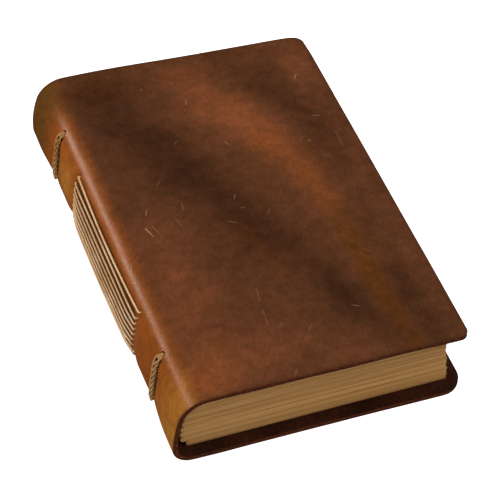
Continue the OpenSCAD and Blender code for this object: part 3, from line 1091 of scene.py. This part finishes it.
@dataclass
class LeatherCover:
    """The leather wrap, dressed as a front half and a back half that meet low on the spine.

    Its finishes are in the order of Skin.
    """

    sizes: BookSizes
    wrap: Wrap
    sewing: Sewing
    finishes: Sequence[bpy.types.Material]
    row_step: float = 1.2
    spine_step: float = 0.8
    plate_cells: int = 50
    seam_z: float = 8.0
    corner_droop: float = 1.2
    head_slack: float = 0.8
    tail_reach: float = 1.2
    edge_round: float = 0.35
    wave_h: float = 0.2
    ripple_h: float = 0.07
    spine_wave_h: float = 0.18
    dimple_h: float = 0.22
    dimple_s: float = 1.1
    dimple_y: float = 1.6
    ragged_h: float = 0.25
    back_reach: float = 0.5
    back_rise: float = 0.15
    plain_tone: float = 0.45
    side_tone: float = 0.5
    olive_drop: float = 0.45
    olive_y: Span = (176.0, 208.0)
    dull_y: Span = (176.0, 206.0)
    gold_y: Span = (2.0, 34.0)
    gold_s: Span = (22.0, 34.0)
    gold_spot: Patch = Patch(30.0, 166.0, 10.0, 9.0, 0.0, 1.0)
    stain_and_shade_depth: float = 0.75
    side_s: Span = (4.0, 13.0)
    # Place and width of the highlight painted along the front bend, and where it fades out towards the head
    shine_s: float = 12.2
    shine_w: float = 1.3
    shine_end: float = 208.0
    shine_full: float = 170.0
    edge_w: float = 0.9
    bend_len: float = 15.0
    patches: tuple[Patch, ...] = (
        Patch(82, 172, 30, 13, -62, 0.5, 0.15),
        Patch(104, 125, 36, 11, -75, 0.45, 0.45),
        Patch(42, 165, 34, 15, -68, -0.42),
        Patch(62, 115, 34, 13, -62, -0.38),
        Patch(84, 65, 32, 12, -60, -0.33),
        Patch(99, 28, 24, 8, -75, -0.3),
        Patch(105, 185, 24, 9, -60, -0.25, 0.2),
        Patch(122, 150, 22, 8, -65, -0.15),
        Patch(26, 72, 42, 15, -88, 0.28),
        Patch(30, 20, 30, 16, 0, 0.25, 0.2),
        Patch(55, 20, 22, 12, 60, 0.15),
        Patch(124, 35, 45, 7, -88, -0.3),
        Patch(112, 38, 56, 5.0, -87, -0.1, 1.0),
        Patch(67, 84, 22, 4, -80, -0.05, 0.6),
        Patch(130, 190, 20, 10, 90, 0.35),
        Patch(28, 202, 24, 14, 0, -0.3, 0.4),
        Patch(26, 162, 16, 26, 0, -0.15),
        Patch(70, 202, 14, 8, 0, 0.2),
        Patch(86, 38, 22, 12, -70, -0.15),
        Patch(14, 6, 16, 14, 0, 0.5, 0.35),
    )

    def rows(self, corner_r: float) -> np.ndarray:
        """Rows of points along the book, closer together at the corners.

        Args:
            corner_r: radius of the corners.

        Returns:
            The rows' distances from the tail.
        """
        arc = corner_r * (1 - np.cos(np.radians(np.linspace(0, 90, 9))))
        count = int((self.sizes.cover_h - 2 * corner_r) / self.row_step)
        run = np.linspace(corner_r, self.sizes.cover_h - corner_r, count)
        return np.concatenate([arc[:-1], run, self.sizes.cover_h - arc[:-1][::-1]])

    def edge_x(self, y: np.ndarray, edge: float, corner_r: float) -> np.ndarray:
        """Place of the fore-edge in each row, with its two rounded corners.

        Args:
            y: the rows.
            edge: place of the straight edge.
            corner_r: radius of the corners.

        Returns:
            The edge's distance from the spine in each row.
        """
        near = np.minimum(y, self.sizes.cover_h - y)
        rest = np.clip(corner_r - near, 0, corner_r)
        return edge - corner_r + np.sqrt(corner_r**2 - rest**2)

    def grid(self, side: Side) -> tuple[np.ndarray, np.ndarray]:
        """Length round the wrap and distance from the tail of every point of one half.

        Args:
            side: which half.

        Returns:
            Two arrays, with a row for each place along the book, from the seam to the fore-edge.
        """
        z, wrap = self.sizes, self.wrap
        seam = wrap.s_at_z(self.seam_z)
        share = np.concatenate([np.linspace(0, 0.97, self.plate_cells), [0.98, 0.988, 0.995, 1.0]])[1:]
        if side is Side.FRONT:
            corner, edge, fold = z.front_corner_r, z.cover_w, wrap.front_fold_x
            spine = np.linspace(seam, 0, int(seam / self.spine_step))
        else:
            corner, edge, fold = z.back_corner_r, z.cover_w + z.back_overhang, wrap.back_fold_x
            spine = np.linspace(seam, wrap.spine_s, int((wrap.spine_s - seam) / self.spine_step))
        y = self.rows(corner)
        reach = (self.edge_x(y, edge, corner) - fold)[:, None] * share
        plate = -reach if side is Side.FRONT else wrap.spine_s + reach
        s = np.concatenate([np.broadcast_to(spine, (len(y), len(spine))), plate], 1)
        return s, np.broadcast_to(y[:, None], s.shape)

    def relief(self, s: np.ndarray, y: np.ndarray) -> np.ndarray:
        """Height of the soft leather's waves above its plain shape.

        Args:
            s: lengths round the wrap.
            y: distances from the tail.

        Returns:
            The height at each place, with the pull of the sewing and a dimple at each stitch hole.
        """
        wrap, z = self.wrap, self.sizes
        wave = self.wave_h * (1 + field_noise(s, y, 55.0, 1.5)) + self.ripple_h * field_noise(s, y, 16.0, 8.5)
        front = smooth(-s, -4, 12)
        sewn = smooth(s, 3, 12) * smooth(wrap.spine_s - s, 3, 10)
        height = front * wave - wrap.pull(s, y) + self.spine_wave_h * sewn * field_noise(s, y, 14.0, 4.5)
        for row in (z.tail_row_y, z.head_row_y):
            for i in range(z.signatures):
                centre = wrap.s_at_z(self.sewing.fold_z(i))
                away = ((s - centre) / self.dimple_s) ** 2 + ((y - row) / self.dimple_y) ** 2
                height = height - self.dimple_h * np.exp(-away)
        return height

    def half(self, side: Side) -> bpy.types.Object:
        """Make one half of the wrap as a closed shell with its thickness.

        Args:
            side: which half.

        Returns:
            The half, not yet cut.
        """
        z = self.sizes
        s, y = self.grid(side)
        relief = self.relief(s, y)
        shells = []
        for depth in (0.0, z.leather_t):
            flat = self.wrap.section(s, relief - depth)
            x = flat[..., 0]
            share = np.clip((x - self.wrap.front_fold_x) / (z.cover_w - self.wrap.front_fold_x), 0, 1)
            if side is Side.FRONT:
                square = y * (1 - (z.head_skew + self.head_slack) / z.cover_h * share)
                droop = self.corner_droop * smooth(x, 131, 141) * smooth(y, 198, 216)
            else:
                roll = smooth(s, self.wrap.s_at_z(self.seam_z), self.wrap.spine_s)
                reach = self.tail_reach * roll * (1 - 0.4 * smooth(x, 20, 70))
                square = y - reach * smooth(z.cover_h / 2 - y, 0, z.cover_h / 2)
                x = x + self.back_reach * smooth(x, 90, 141)
                droop = -self.back_rise * smooth(x, 133, 142)
            ends = smooth(np.abs(y - z.cover_h / 2), 90, 108)
            ragged = self.ragged_h * field_noise(x, y, 24.0, 3.5 + depth) * ends
            shells.append(np.stack([x, square + ragged, flat[..., 1] - droop], -1))
        rows, columns = s.shape
        made = new_mesh(
            f"leather_{side.value}",
            np.concatenate([shell.reshape(-1, 3) for shell in shells]),
            self.shell_faces(rows, columns, side is Side.BACK),
            z,
        )
        self.skin(made, rows, columns)
        face_out(made.data)
        return made

    def shell_faces(self, rows: int, columns: int, flip: bool) -> np.ndarray:
        """Faces of a closed shell: outside, inside and the four edges.

        Args:
            rows: rows of points in each skin.
            columns: points in a row.
            flip: whether the rows run the other way round.

        Returns:
            An array with four point numbers for each face.
        """
        index = np.arange(2 * rows * columns).reshape(2, rows, columns)
        out, inn = index
        outer = [out[:-1, :-1], out[:-1, 1:], out[1:, 1:], out[1:, :-1]]
        inner = [inn[:-1, :-1], inn[1:, :-1], inn[1:, 1:], inn[:-1, 1:]]
        faces = [np.stack([q.ravel() for q in quad], 1) for quad in (outer, inner)]
        rim = np.concatenate([out[0, :-1], out[:-1, -1], out[-1, :0:-1], out[:0:-1, 0]])
        under = np.concatenate([inn[0, :-1], inn[:-1, -1], inn[-1, :0:-1], inn[:0:-1, 0]])
        faces.append(np.stack([rim, under, np.roll(under, -1), np.roll(rim, -1)], 1))
        every = np.concatenate(faces)
        return every[:, ::-1] if flip else every

    def skin(self, obj: bpy.types.Object, rows: int, columns: int) -> None:
        """Give each face of a new half its material slot.

        Args:
            obj: the half.
            rows: rows of points in each skin.
            columns: points in a row.
        """
        cells = (rows - 1) * (columns - 1)
        slots = np.full(len(obj.data.polygons), Skin.CUT.value)
        slots[:cells] = Skin.GRAIN.value
        slots[cells : 2 * cells] = Skin.FLESH.value
        for material in self.finishes:
            obj.data.materials.append(material)
        obj.data.polygons.foreach_set("material_index", slots.astype(np.int32))

    def slit_cutter(self) -> bpy.types.Object:
        """Bodies of the two long slits, whose tail edges bow away from the chains.

        Returns:
            The cutter.
        """
        z = self.sizes
        outline = self.sewing.slit_outline()
        points, faces = [], []
        for chain in (z.tail_chain_y, z.head_chain_y):
            faces += tube_faces(len(points), len(outline))
            for x in (-3.0, float(self.wrap.front_c[0])):
                points += [(x, chain + across, height) for across, height in outline]
        return self.cutter("slit_cutter", points, faces)

    def hole_cutter(self, name: str, holes: Iterable[tuple], length: float) -> bpy.types.Object:
        """Round punches.

        Args:
            name: name of the cutter.
            holes: centre, direction and radius of each.
            length: length of each punch.

        Returns:
            The cutter.
        """
        points, faces = [], []
        turns = np.linspace(0, 2 * math.pi, 20, endpoint=False)
        along = np.array([0.0, 1.0, 0.0])
        for centre, way, radius in holes:
            side = np.cross(way, along)
            ring = [radius * (math.cos(a) * side + math.sin(a) * along) for a in turns]
            faces += tube_faces(len(points), len(ring))
            points += [centre + p - length * way for p in ring] + [centre + p + length * way for p in ring]
        return self.cutter(name, points, faces)

    def cutter(self, name: str, points: list, faces: list) -> bpy.types.Object:
        """Make a cutter whose cuts take the finish of a cut edge.

        Args:
            name: name of the cutter.
            points: its points.
            faces: lists of point numbers.

        Returns:
            The cutter.
        """
        made = new_mesh(name, np.array(points), faces, self.sizes)
        mesh = made.data
        for material in self.finishes:
            mesh.materials.append(material)
        mesh.polygons.foreach_set("material_index", np.full(len(faces), Skin.CUT.value, np.int32))
        face_out(mesh)
        return made

    def cutters(self) -> list[bpy.types.Object]:
        """Make all the cutters.

        Returns:
            The slits, their round ends and the stitch holes.
        """
        z, wrap = self.sizes, self.wrap
        ends, holes = [], []
        for s in self.sewing.slit_ends():
            a = float(wrap.normal_angle(np.array(s)))
            way = np.array([math.cos(a), 0.0, math.sin(a)])
            for chain in (z.tail_chain_y, z.head_chain_y):
                ends.append((wrap.on_spine(s, chain, -1.0), way, z.slit_end_d / 2))
        for i in range(z.signatures):
            height = self.sewing.fold_z(i)
            for row in (z.tail_row_y, z.head_row_y):
                worn = 0.55 if row == z.head_row_y else -0.15
                spot = wrap.on_spine(wrap.s_at_z(height), row + worn, -z.leather_t)
                spot[2] = height
                holes.append((spot, np.array([-1.0, 0.0, 0.0]), z.hole_d / 2))
        return [
            self.slit_cutter(),
            self.hole_cutter("slit_end_cutter", ends, 5.0),
            self.hole_cutter("stitch_cutter", holes, 6.0),
        ]

    def wear(self, x: np.ndarray, y: np.ndarray, height: np.ndarray) -> dict[str, np.ndarray]:
        """What the grain finish reads: patches, place on the wrap, stains with painted shade under the long
        stitches, rubbing with a painted highlight on the front bend, and edges.

        Args:
            x: distances of the points from the spine.
            y: their distances from the tail.
            height: their heights.

        Returns:
            The values at the points, by name.
        """
        z, wrap = self.sizes, self.wrap
        s = wrap.length_at(x, height)
        tone, warmth = np.zeros_like(x), np.zeros_like(x)
        for patch in self.patches:
            share = patch.weight(x, y)
            tone += patch.tone * share
            warmth += patch.warmth * share
        under = height < z.book_t / 2
        flat = (s < 0) | (s > wrap.spine_s)
        tone = self.plain_tone + np.where(under & flat, 0.0, tone)
        warmth = np.where(under & flat, 0.1, warmth)
        on_spine = smooth(s, *self.side_s)
        first = wrap.s_at_z(self.sewing.fold_z(z.signatures - 1))
        side_tone = self.side_tone - self.olive_drop * smooth(y, *self.olive_y)
        tone = tone * (1 - on_spine) + on_spine * side_tone
        tail_gold = (1.0 - smooth(y, *self.gold_y)) * (0.7 + 0.5 * smooth(s, *self.gold_s))
        sewn = smooth(y, z.tail_row_y - 1, z.tail_row_y + 5)
        sewn = sewn * smooth(-y, -z.head_row_y - 1.5, -z.head_row_y + 3)
        # Painted highlight along the front bend, which also stands for rubbed wear; it fades out towards the
        # head
        shine = np.exp(-(((s - self.shine_s) / self.shine_w) ** 2))
        shine = shine * smooth(-y, -self.shine_end, -self.shine_full)
        edge_x = np.where(under, z.cover_w + z.back_overhang, z.cover_w)
        head = z.cover_h - np.where(under, 0, z.head_skew * x / z.cover_w)
        near = np.minimum(np.minimum(y, head - y), edge_x - x)
        return {
            "tone": tone,
            "warmth": warmth,
            "gold": tail_gold + self.gold_spot.weight(s, y),
            "dull": smooth(y, *self.dull_y),
            # Stain and painted shade under the long stitches
            "stain": self.stain_and_shade_depth * smooth(s, first - 1.5, first + 1.5) * sewn,
            "spine": on_spine * smooth(wrap.spine_s - s, -4, 4),
            "rub": shine * (0.8 + 0.35 * field_noise(s, y, 22.0, 7.5)),
            "edge": np.exp(-np.clip(near, 0, 20) / self.edge_w),
        }

    def dress(self, obj: bpy.types.Object) -> None:
        """Store what the grain finish reads at each point of a half.

        Args:
            obj: the half.
        """
        co = np.empty(len(obj.data.vertices) * 3, np.float32)
        obj.data.vertices.foreach_get("co", co)
        x, y, height = (co.reshape(-1, 3) / MM + self.sizes.middle).T
        for name, value in self.wear(x, y, height).items():
            layer = obj.data.attributes.new(name, "FLOAT", "POINT")
            layer.data.foreach_set("value", np.asarray(value, np.float32))

    def build(self) -> list[bpy.types.Object]:
        """Make both halves, cut them and dress them, and hide the model's parts that they stand for.

        Returns:
            The two pieces.
        """
        cutters = self.cutters()
        made = []
        for side in Side:
            half = self.half(side)
            bevel = half.modifiers.new("worn_edge", "BEVEL")
            bevel.width, bevel.segments = self.edge_round * MM, 2
            bevel.limit_method, bevel.angle_limit = "ANGLE", math.radians(50)
            apply_modifiers(half)
            for cutter in cutters:
                cut = half.modifiers.new(cutter.name, "BOOLEAN")
                cut.operation, cut.solver, cut.object = "DIFFERENCE", "MANIFOLD", cutter
                apply_modifiers(half)
            half.data.shade_smooth()
            half.data.set_sharp_from_angle(angle=math.radians(38))
            self.dress(half)
            made.append(half)
        for cutter in cutters:
            bpy.data.objects.remove(cutter)
        self.hang(made)
        return made

    def hang(self, halves: Sequence[bpy.types.Object]) -> None:
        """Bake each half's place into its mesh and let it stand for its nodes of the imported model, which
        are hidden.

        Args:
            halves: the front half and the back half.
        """
        z, wrap = self.sizes, self.wrap
        plans = (
            (Body.FRONT, wrap.front_fold_x, z.book_t, ("front_cover", "spine")),
            (Body.BACK, wrap.back_fold_x, 0.0, ("back_cover", "spine")),
        )
        for half, (body, fold, height, nodes) in zip(halves, plans):
            start = z.placed(np.array([fold, z.cover_h / 2, height]))
            end = z.placed(np.array([fold + self.bend_len, z.cover_h / 2, height]))
            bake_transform(half)
            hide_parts(*nodes)


@dataclass
class TextBlock:
    """Nine signatures of folded sheets, as one piece."""

    sizes: BookSizes
    sewing: Sewing
    sheets: int = 8
    rows: int = 12
    gap: float = 0.016
    skew: float = 1.6
    fore_jitter: float = 0.22
    fore_step: float = 0.05
    end_jitter: float = 0.16
    wave_h: float = 0.14
    wave_from: float = 100.0
    wave_run: float = 30.0
    flat_from: float = 45.0

    def settle_x(self) -> float:
        """Place at which the signatures start to settle from the height of their folds."""
        sew = self.sewing
        return max(sew.fold_x(0), sew.fold_x(self.sizes.signatures - 1)) + sew.fold_r + 1

    def sheet_ring(self, i: int, k: int) -> np.ndarray:
        """Section of one folded sheet: in along its top leaf, round the fold and out again.

        Args:
            i: number of the signature.
            k: number of the sheet, from the outside in.

        Returns:
            The ring's points, as distances from the spine and heights.
        """
        z, sew, fold_r = self.sizes, self.sewing, self.sewing.fold_r
        radii = (
            fold_r * (1 - k / self.sheets) - self.gap / 2,
            fold_r * (1 - (k + 1) / self.sheets) + self.gap / 2,
        )
        centre, settle = sew.fold_x(i) + fold_r, self.settle_x()
        jitter = self.fore_jitter * noise.noise(Vector((i * 3.1, k * 1.7, 0.5)))
        fore = sew.fore_x(i) + jitter - self.fore_step * k
        settling = settle + z.settle_len * np.linspace(0, 1, 6)
        run = [centre, *settling, *np.linspace(self.flat_from, fore, 4)]
        turns = np.linspace(math.pi / 2, 1.5 * math.pi, 11)[1:-1]
        ring = []
        for radius, order in zip(radii, (1, -1)):
            arc = [(centre + radius * math.cos(a), radius * math.sin(a)) for a in turns]
            leaf = [(x, radius) for x in reversed(run)]
            ring += (leaf + arc + [(x, -radius) for x in run])[::order]
        x, rise = np.array(ring).T
        share = ease((x - settle) / z.settle_len)
        drop = (sew.height(i) - sew.fold_z(i)) * share
        return np.stack([x, sew.fold_z(i) + drop + rise * (1 + (z.signature_t / 2 / fold_r - 1) * share)], 1)

    def build(self, finish: bpy.types.Material) -> bpy.types.Object:
        """Make the block.

        Args:
            finish: the paper.

        Returns:
            The piece.
        """
        z, sew = self.sizes, self.sewing
        points, faces, crease = [], [], []
        for i in range(z.signatures):
            for k in range(self.sheets):
                ring = self.sheet_ring(i, k)
                n, start = len(ring), len(points)
                ends = self.end_jitter * noise.noise(Vector((i * 2.3, k * 1.9, 4.5)))
                low, high = sew.page_y + ends, z.cover_h - sew.page_y + ends
                for y in np.linspace(low, high, self.rows):
                    wave = self.wave_h * noise.noise(Vector((y / 50, i * 1.3, k * 0.4)))
                    for x, height in ring:
                        out = max(0.0, x - self.wave_from) / self.wave_run
                        lean = -self.skew * (1 - x / 130) * (1 - (y - low) / (high - low))
                        points.append((x + wave * out, y + lean, height))
                        # The outer sheet of each signature is darker
                        crease.append(1.0 if k == 0 else 0.25)
                faces += self.sheet_faces(start, n)
        made = new_mesh("text_block", np.array(points), faces, z)
        made.data.materials.append(finish)
        layer = made.data.attributes.new("crease", "FLOAT", "POINT")
        layer.data.foreach_set("value", np.array(crease, np.float32))
        made.data.shade_smooth()
        made.data.set_sharp_from_angle(angle=math.radians(40))
        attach(made, Body.BLOCK.value)
        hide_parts("pages")
        return made

    def sheet_faces(self, start: int, n: int) -> list[list[int]]:
        """Faces of one sheet.

        Args:
            start: number of its first point.
            n: points in a ring.

        Returns:
            Its walls and its two ends.
        """
        faces = []
        for row in range(self.rows - 1):
            a, b = start + row * n, start + (row + 1) * n
            faces += [[a + j, a + (j + 1) % n, b + (j + 1) % n, b + j] for j in range(n)]
        last = start + (self.rows - 1) * n
        for j in range(n // 2 - 1):
            o, p = n - 1 - j, j
            faces.append([start + p, start + o, start + o - 1, start + p + 1])
            faces.append([last + p, last + p + 1, last + o - 1, last + o])
        return faces


@dataclass
class Thread:
    """The sewing thread as three twisted plies along its route."""

    sizes: BookSizes
    sewing: Sewing
    plies: int = 3
    lay: float = 3.4
    step: float = 0.45
    sides: int = 9
    ply_depth: float = 0.12
    fine_step: float = 0.3
    straight_run: float = 8.0
    straight_points: int = 16

    def path(self) -> np.ndarray:
        """The route with its corners rounded by a spline through its points.

        Returns:
            Closely spaced points.
        """
        p = self.sewing.route()
        p = np.vstack([2 * p[0] - p[1], p, 2 * p[-1] - p[-2]])
        out = []
        for a, b, c, d in zip(p[:-3], p[1:-2], p[2:-1], p[3:]):
            t1 = np.linalg.norm(b - a) ** 0.5
            t2 = t1 + np.linalg.norm(c - b) ** 0.5
            t3 = t2 + np.linalg.norm(d - c) ** 0.5
            run = np.linalg.norm(c - b)
            count = max(2, int(run / self.fine_step)) if run < self.straight_run else self.straight_points
            for t in np.linspace(t1, t2, count, endpoint=False):
                ab = (t1 - t) / t1 * a + t / t1 * b
                bc = (t2 - t) / (t2 - t1) * b + (t - t1) / (t2 - t1) * c
                cd = (t3 - t) / (t3 - t2) * c + (t - t2) / (t3 - t2) * d
                abc = (t2 - t) / t2 * ab + t / t2 * bc
                bcd = (t3 - t) / (t3 - t1) * bc + (t - t1) / (t3 - t1) * cd
                out.append((t2 - t) / (t2 - t1) * abc + (t - t1) / (t2 - t1) * bcd)
        return np.array(out + [p[-2]])

    def tree(self, finish: bpy.types.Material) -> bpy.types.NodeTree:
        """Node tree that sweeps a lobed section along a curve and twists it.

        Args:
            finish: the thread's material.

        Returns:
            The tree, with the thread's sizes as named inputs.
        """
        tree = bpy.data.node_groups.new("twisted_thread", "GeometryNodeTree")
        face = tree.interface
        face.new_socket("Geometry", in_out="INPUT", socket_type="NodeSocketGeometry")
        sizes = {
            "Radius": self.sizes.thread_d / 2 * MM,
            "Plies": float(self.plies),
            "Ply depth": self.ply_depth,
            "Twist per metre": 2 * math.pi / (self.lay * MM),
            "Step": self.step * MM,
        }
        for name, value in sizes.items():
            socket = face.new_socket(name, in_out="INPUT", socket_type="NodeSocketFloat")
            socket.default_value = value
        face.new_socket("Geometry", in_out="OUTPUT", socket_type="NodeSocketGeometry")

        def add(kind: str, feeds: dict | None = None, **settings: object) -> bpy.types.Node:
            """Add a node to the tree.

            Args:
                kind: type of the node.
                feeds: values or sockets for its inputs, by name or number.
                settings: values for its properties.

            Returns:
                The new node.
            """
            node = tree.nodes.new(kind)
            for key, value in settings.items():
                setattr(node, key, value)
            for key, value in (feeds or {}).items():
                if isinstance(value, bpy.types.NodeSocket):
                    tree.links.new(value, node.inputs[key])
                else:
                    node.inputs[key].default_value = value
            return node

        def maths(operation: str, first: object, second: object = 0.0) -> Socket:
            """Result of a sum on one or two values."""
            return add("ShaderNodeMath", {0: first, 1: second}, operation=operation).outputs[0]

        given = add("NodeGroupInput").outputs
        even = add(
            "GeometryNodeResampleCurve", {"Curve": given["Geometry"], "Length": given["Step"]}, mode="LENGTH"
        )
        along = add("GeometryNodeSplineParameter").outputs["Length"]
        twist = maths("MULTIPLY", along, given["Twist per metre"])
        tilted = add("GeometryNodeSetCurveTilt", {"Curve": even.outputs[0], "Tilt": twist})
        circle = add(
            "GeometryNodeCurvePrimitiveCircle", {"Resolution": self.sides, "Radius": given["Radius"]}
        )
        spot = add("GeometryNodeInputPosition").outputs[0]
        parts = add("ShaderNodeSeparateXYZ", {0: spot}).outputs
        angle = maths("ARCTAN2", parts["Y"], parts["X"])
        lobe = maths("COSINE", maths("MULTIPLY", angle, given["Plies"]))
        size = maths("ADD", 1.0, maths("MULTIPLY", lobe, given["Ply depth"]))
        shaped = add("ShaderNodeVectorMath", {0: spot, "Scale": size}, operation="SCALE")
        lobed = add("GeometryNodeSetPosition", {"Geometry": circle.outputs[0], "Position": shaped.outputs[0]})
        swept = add(
            "GeometryNodeCurveToMesh",
            {"Curve": tilted.outputs[0], "Profile Curve": lobed.outputs[0], "Fill Caps": True},
        )
        soft = add("GeometryNodeSetShadeSmooth", {"Geometry": swept.outputs[0]})
        real = add("GeometryNodeRealizeInstances", {"Geometry": soft.outputs[0]})
        painted = add("GeometryNodeSetMaterial", {"Geometry": real.outputs[0], "Material": finish})
        add("NodeGroupOutput", {0: painted.outputs[0]})
        return tree

    def build(self, finish: bpy.types.Material) -> bpy.types.Object:
        """Make the thread.

        Args:
            finish: the thread's material.

        Returns:
            The piece.
        """
        points = self.sizes.placed(self.path())
        curve = bpy.data.curves.new("thread_route", "CURVE")
        curve.dimensions = "3D"
        line = curve.splines.new("POLY")
        line.points.add(len(points) - 1)
        line.points.foreach_set("co", np.column_stack([points, np.ones(len(points))]).ravel())
        route = bpy.data.objects.new("thread_route", curve)
        bpy.context.scene.collection.objects.link(route)
        sweep = route.modifiers.new("twisted_thread", "NODES")
        sweep.node_group = self.tree(finish)
        bpy.context.view_layer.update()
        graph = bpy.context.evaluated_depsgraph_get()
        mesh = bpy.data.meshes.new_from_object(route.evaluated_get(graph))
        made = bpy.data.objects.new("stitched_thread", mesh)
        bpy.context.scene.collection.objects.link(made)
        bpy.data.objects.remove(route)
        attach(made, Body.BLOCK.value)
        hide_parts("sewing_thread")
        return made


@dataclass(frozen=True)
class Lamp:
    """One soft area lamp, aimed at the journal."""

    name: str
    place: tuple[float, float, float]
    size: float
    watts: float
    colour: Colour = (1.0, 1.0, 1.0)


@dataclass
class Studio:
    """White floor, soft lamps and the camera at the photograph's viewing angle.

    The leather mirrors dim surroundings, so that its colours stay deep on the white floor.
    """

    eye: tuple[float, float, float] = (-0.29897, -0.70114, 0.80194)
    right: tuple[float, float, float] = (0.93708, -0.34470, 0.05528)
    up: tuple[float, float, float] = (0.21374, 0.69169, 0.68984)
    lens: float = 165.786
    sensor: float = 36.0
    floor_half: float = 3.0
    floor_drop: float = 0.0004
    air: float = 0.55
    around: Colour = (0.08, 0.06, 0.04)
    lamps: tuple[Lamp, ...] = (
        Lamp("key", (-0.96, 0.99, 0.61), 0.36, 11.2, (1.0, 0.96, 0.9)),
        Lamp("fill", (0.6, -0.6, 1.2), 0.9, 8.0, (1.0, 0.98, 0.95)),
    )

    def build(self) -> None:
        """Make the floor, world, lamps and camera."""
        self.floor()
        self.world()
        for lamp in self.lamps:
            self.light(lamp)
        self.camera()

    def floor(self) -> None:
        """Pale floor that shows as white around the journal's own shadow."""
        mesh = bpy.data.meshes.new("floor")
        r = self.floor_half
        mesh.from_pydata([(-r, -r, 0), (r, -r, 0), (r, r, 0), (-r, r, 0)], [], [(0, 1, 2, 3)])
        floor = bpy.data.objects.new("floor", mesh)
        bpy.context.scene.collection.objects.link(floor)
        floor.location.z = -self.floor_drop
        sh = Shader("pale_floor")
        sh.set(Base_Color=(0.8, 0.8, 0.8), Roughness=0.9, Specular_IOR_Level=0.1)
        glow = sh.add("ShaderNodeEmission", {"Color": (1.0, 1.0, 1.0), "Strength": 0.85})
        both = sh.add("ShaderNodeAddShader", {0: sh.shader.outputs[0], 1: glow.outputs[0]})
        seen = sh.add("ShaderNodeLightPath").outputs
        pick = sh.add(
            "ShaderNodeMixShader", {0: seen["Is Camera Ray"], 1: sh.shader.outputs[0], 2: both.outputs[0]}
        )
        shade = sh.add("ShaderNodeEmission", {"Color": self.around, "Strength": 1.0})
        pick = sh.add(
            "ShaderNodeMixShader", {0: seen["Is Glossy Ray"], 1: pick.outputs[0], 2: shade.outputs[0]}
        )
        sh.links.new(pick.outputs[0], sh.nodes["Material Output"].inputs["Surface"])
        mesh.materials.append(sh.material)

    def world(self) -> None:
        """Even pale light from all round, white where the camera sees it."""
        world = bpy.data.worlds.new("studio")
        bpy.context.scene.world = world
        world.use_nodes = True
        nodes, links = world.node_tree.nodes, world.node_tree.links
        ground = nodes["Background"]
        ground.inputs["Color"].default_value = (0.96, 0.97, 1.0, 1.0)
        ground.inputs["Strength"].default_value = self.air
        seen = nodes.new("ShaderNodeLightPath")
        result = ground.outputs[0]
        for ray, colour in (("Is Camera Ray", (1.0, 1.0, 1.0)), ("Is Glossy Ray", self.around)):
            other = nodes.new("ShaderNodeBackground")
            other.inputs["Color"].default_value = (*colour, 1.0)
            other.inputs["Strength"].default_value = 1.0
            pick = nodes.new("ShaderNodeMixShader")
            links.new(seen.outputs[ray], pick.inputs[0])
            links.new(result, pick.inputs[1])
            links.new(other.outputs[0], pick.inputs[2])
            result = pick.outputs[0]
        links.new(result, nodes["World Output"].inputs["Surface"])

    def light(self, lamp: Lamp) -> None:
        """Make one area lamp.

        Args:
            lamp: what it is like.
        """
        data = bpy.data.lights.new(lamp.name, "AREA")
        data.shape, data.size, data.energy, data.color = "DISK", lamp.size, lamp.watts, lamp.colour
        made = bpy.data.objects.new(lamp.name, data)
        made.location = lamp.place
        made.rotation_euler = (-Vector(lamp.place)).to_track_quat("-Z", "Y").to_euler()
        bpy.context.scene.collection.objects.link(made)

    def camera(self) -> None:
        """Make the camera from its place and the directions of its frame."""
        data = bpy.data.cameras.new("camera")
        data.lens, data.sensor_width = self.lens, self.sensor
        data.clip_start, data.clip_end = 0.05, 20.0
        made = bpy.data.objects.new("camera", data)
        right, up = Vector(self.right).normalized(), Vector(self.up).normalized()
        turn = Matrix((right, up, right.cross(up))).transposed()
        made.matrix_world = Matrix.Translation(self.eye) @ turn.to_4x4()
        bpy.context.scene.collection.objects.link(made)
        bpy.context.scene.camera = made


def main() -> None:
    """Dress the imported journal."""
    logging.basicConfig(level=logging.INFO, format="%(name)s: %(message)s")
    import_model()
    bpy.context.scene.view_settings.view_transform = "Standard"
    sizes = BookSizes()
    wrap = Wrap(sizes)
    sewing = Sewing(sizes, wrap)
    leather = [GrainFinish().material(sizes), FleshFinish().material(), CutFinish().material()]
    pieces = LeatherCover(sizes, wrap, sewing, leather).build()
    pieces.append(TextBlock(sizes, sewing).build(PaperFinish().material()))
    pieces.append(Thread(sizes, sewing).build(ThreadFinish().material(sizes)))
    for piece in pieces:
        log.info("%s: %d faces", piece.name, len(piece.data.polygons))
    Studio().build()


if __name__ == "__main__":
    main()
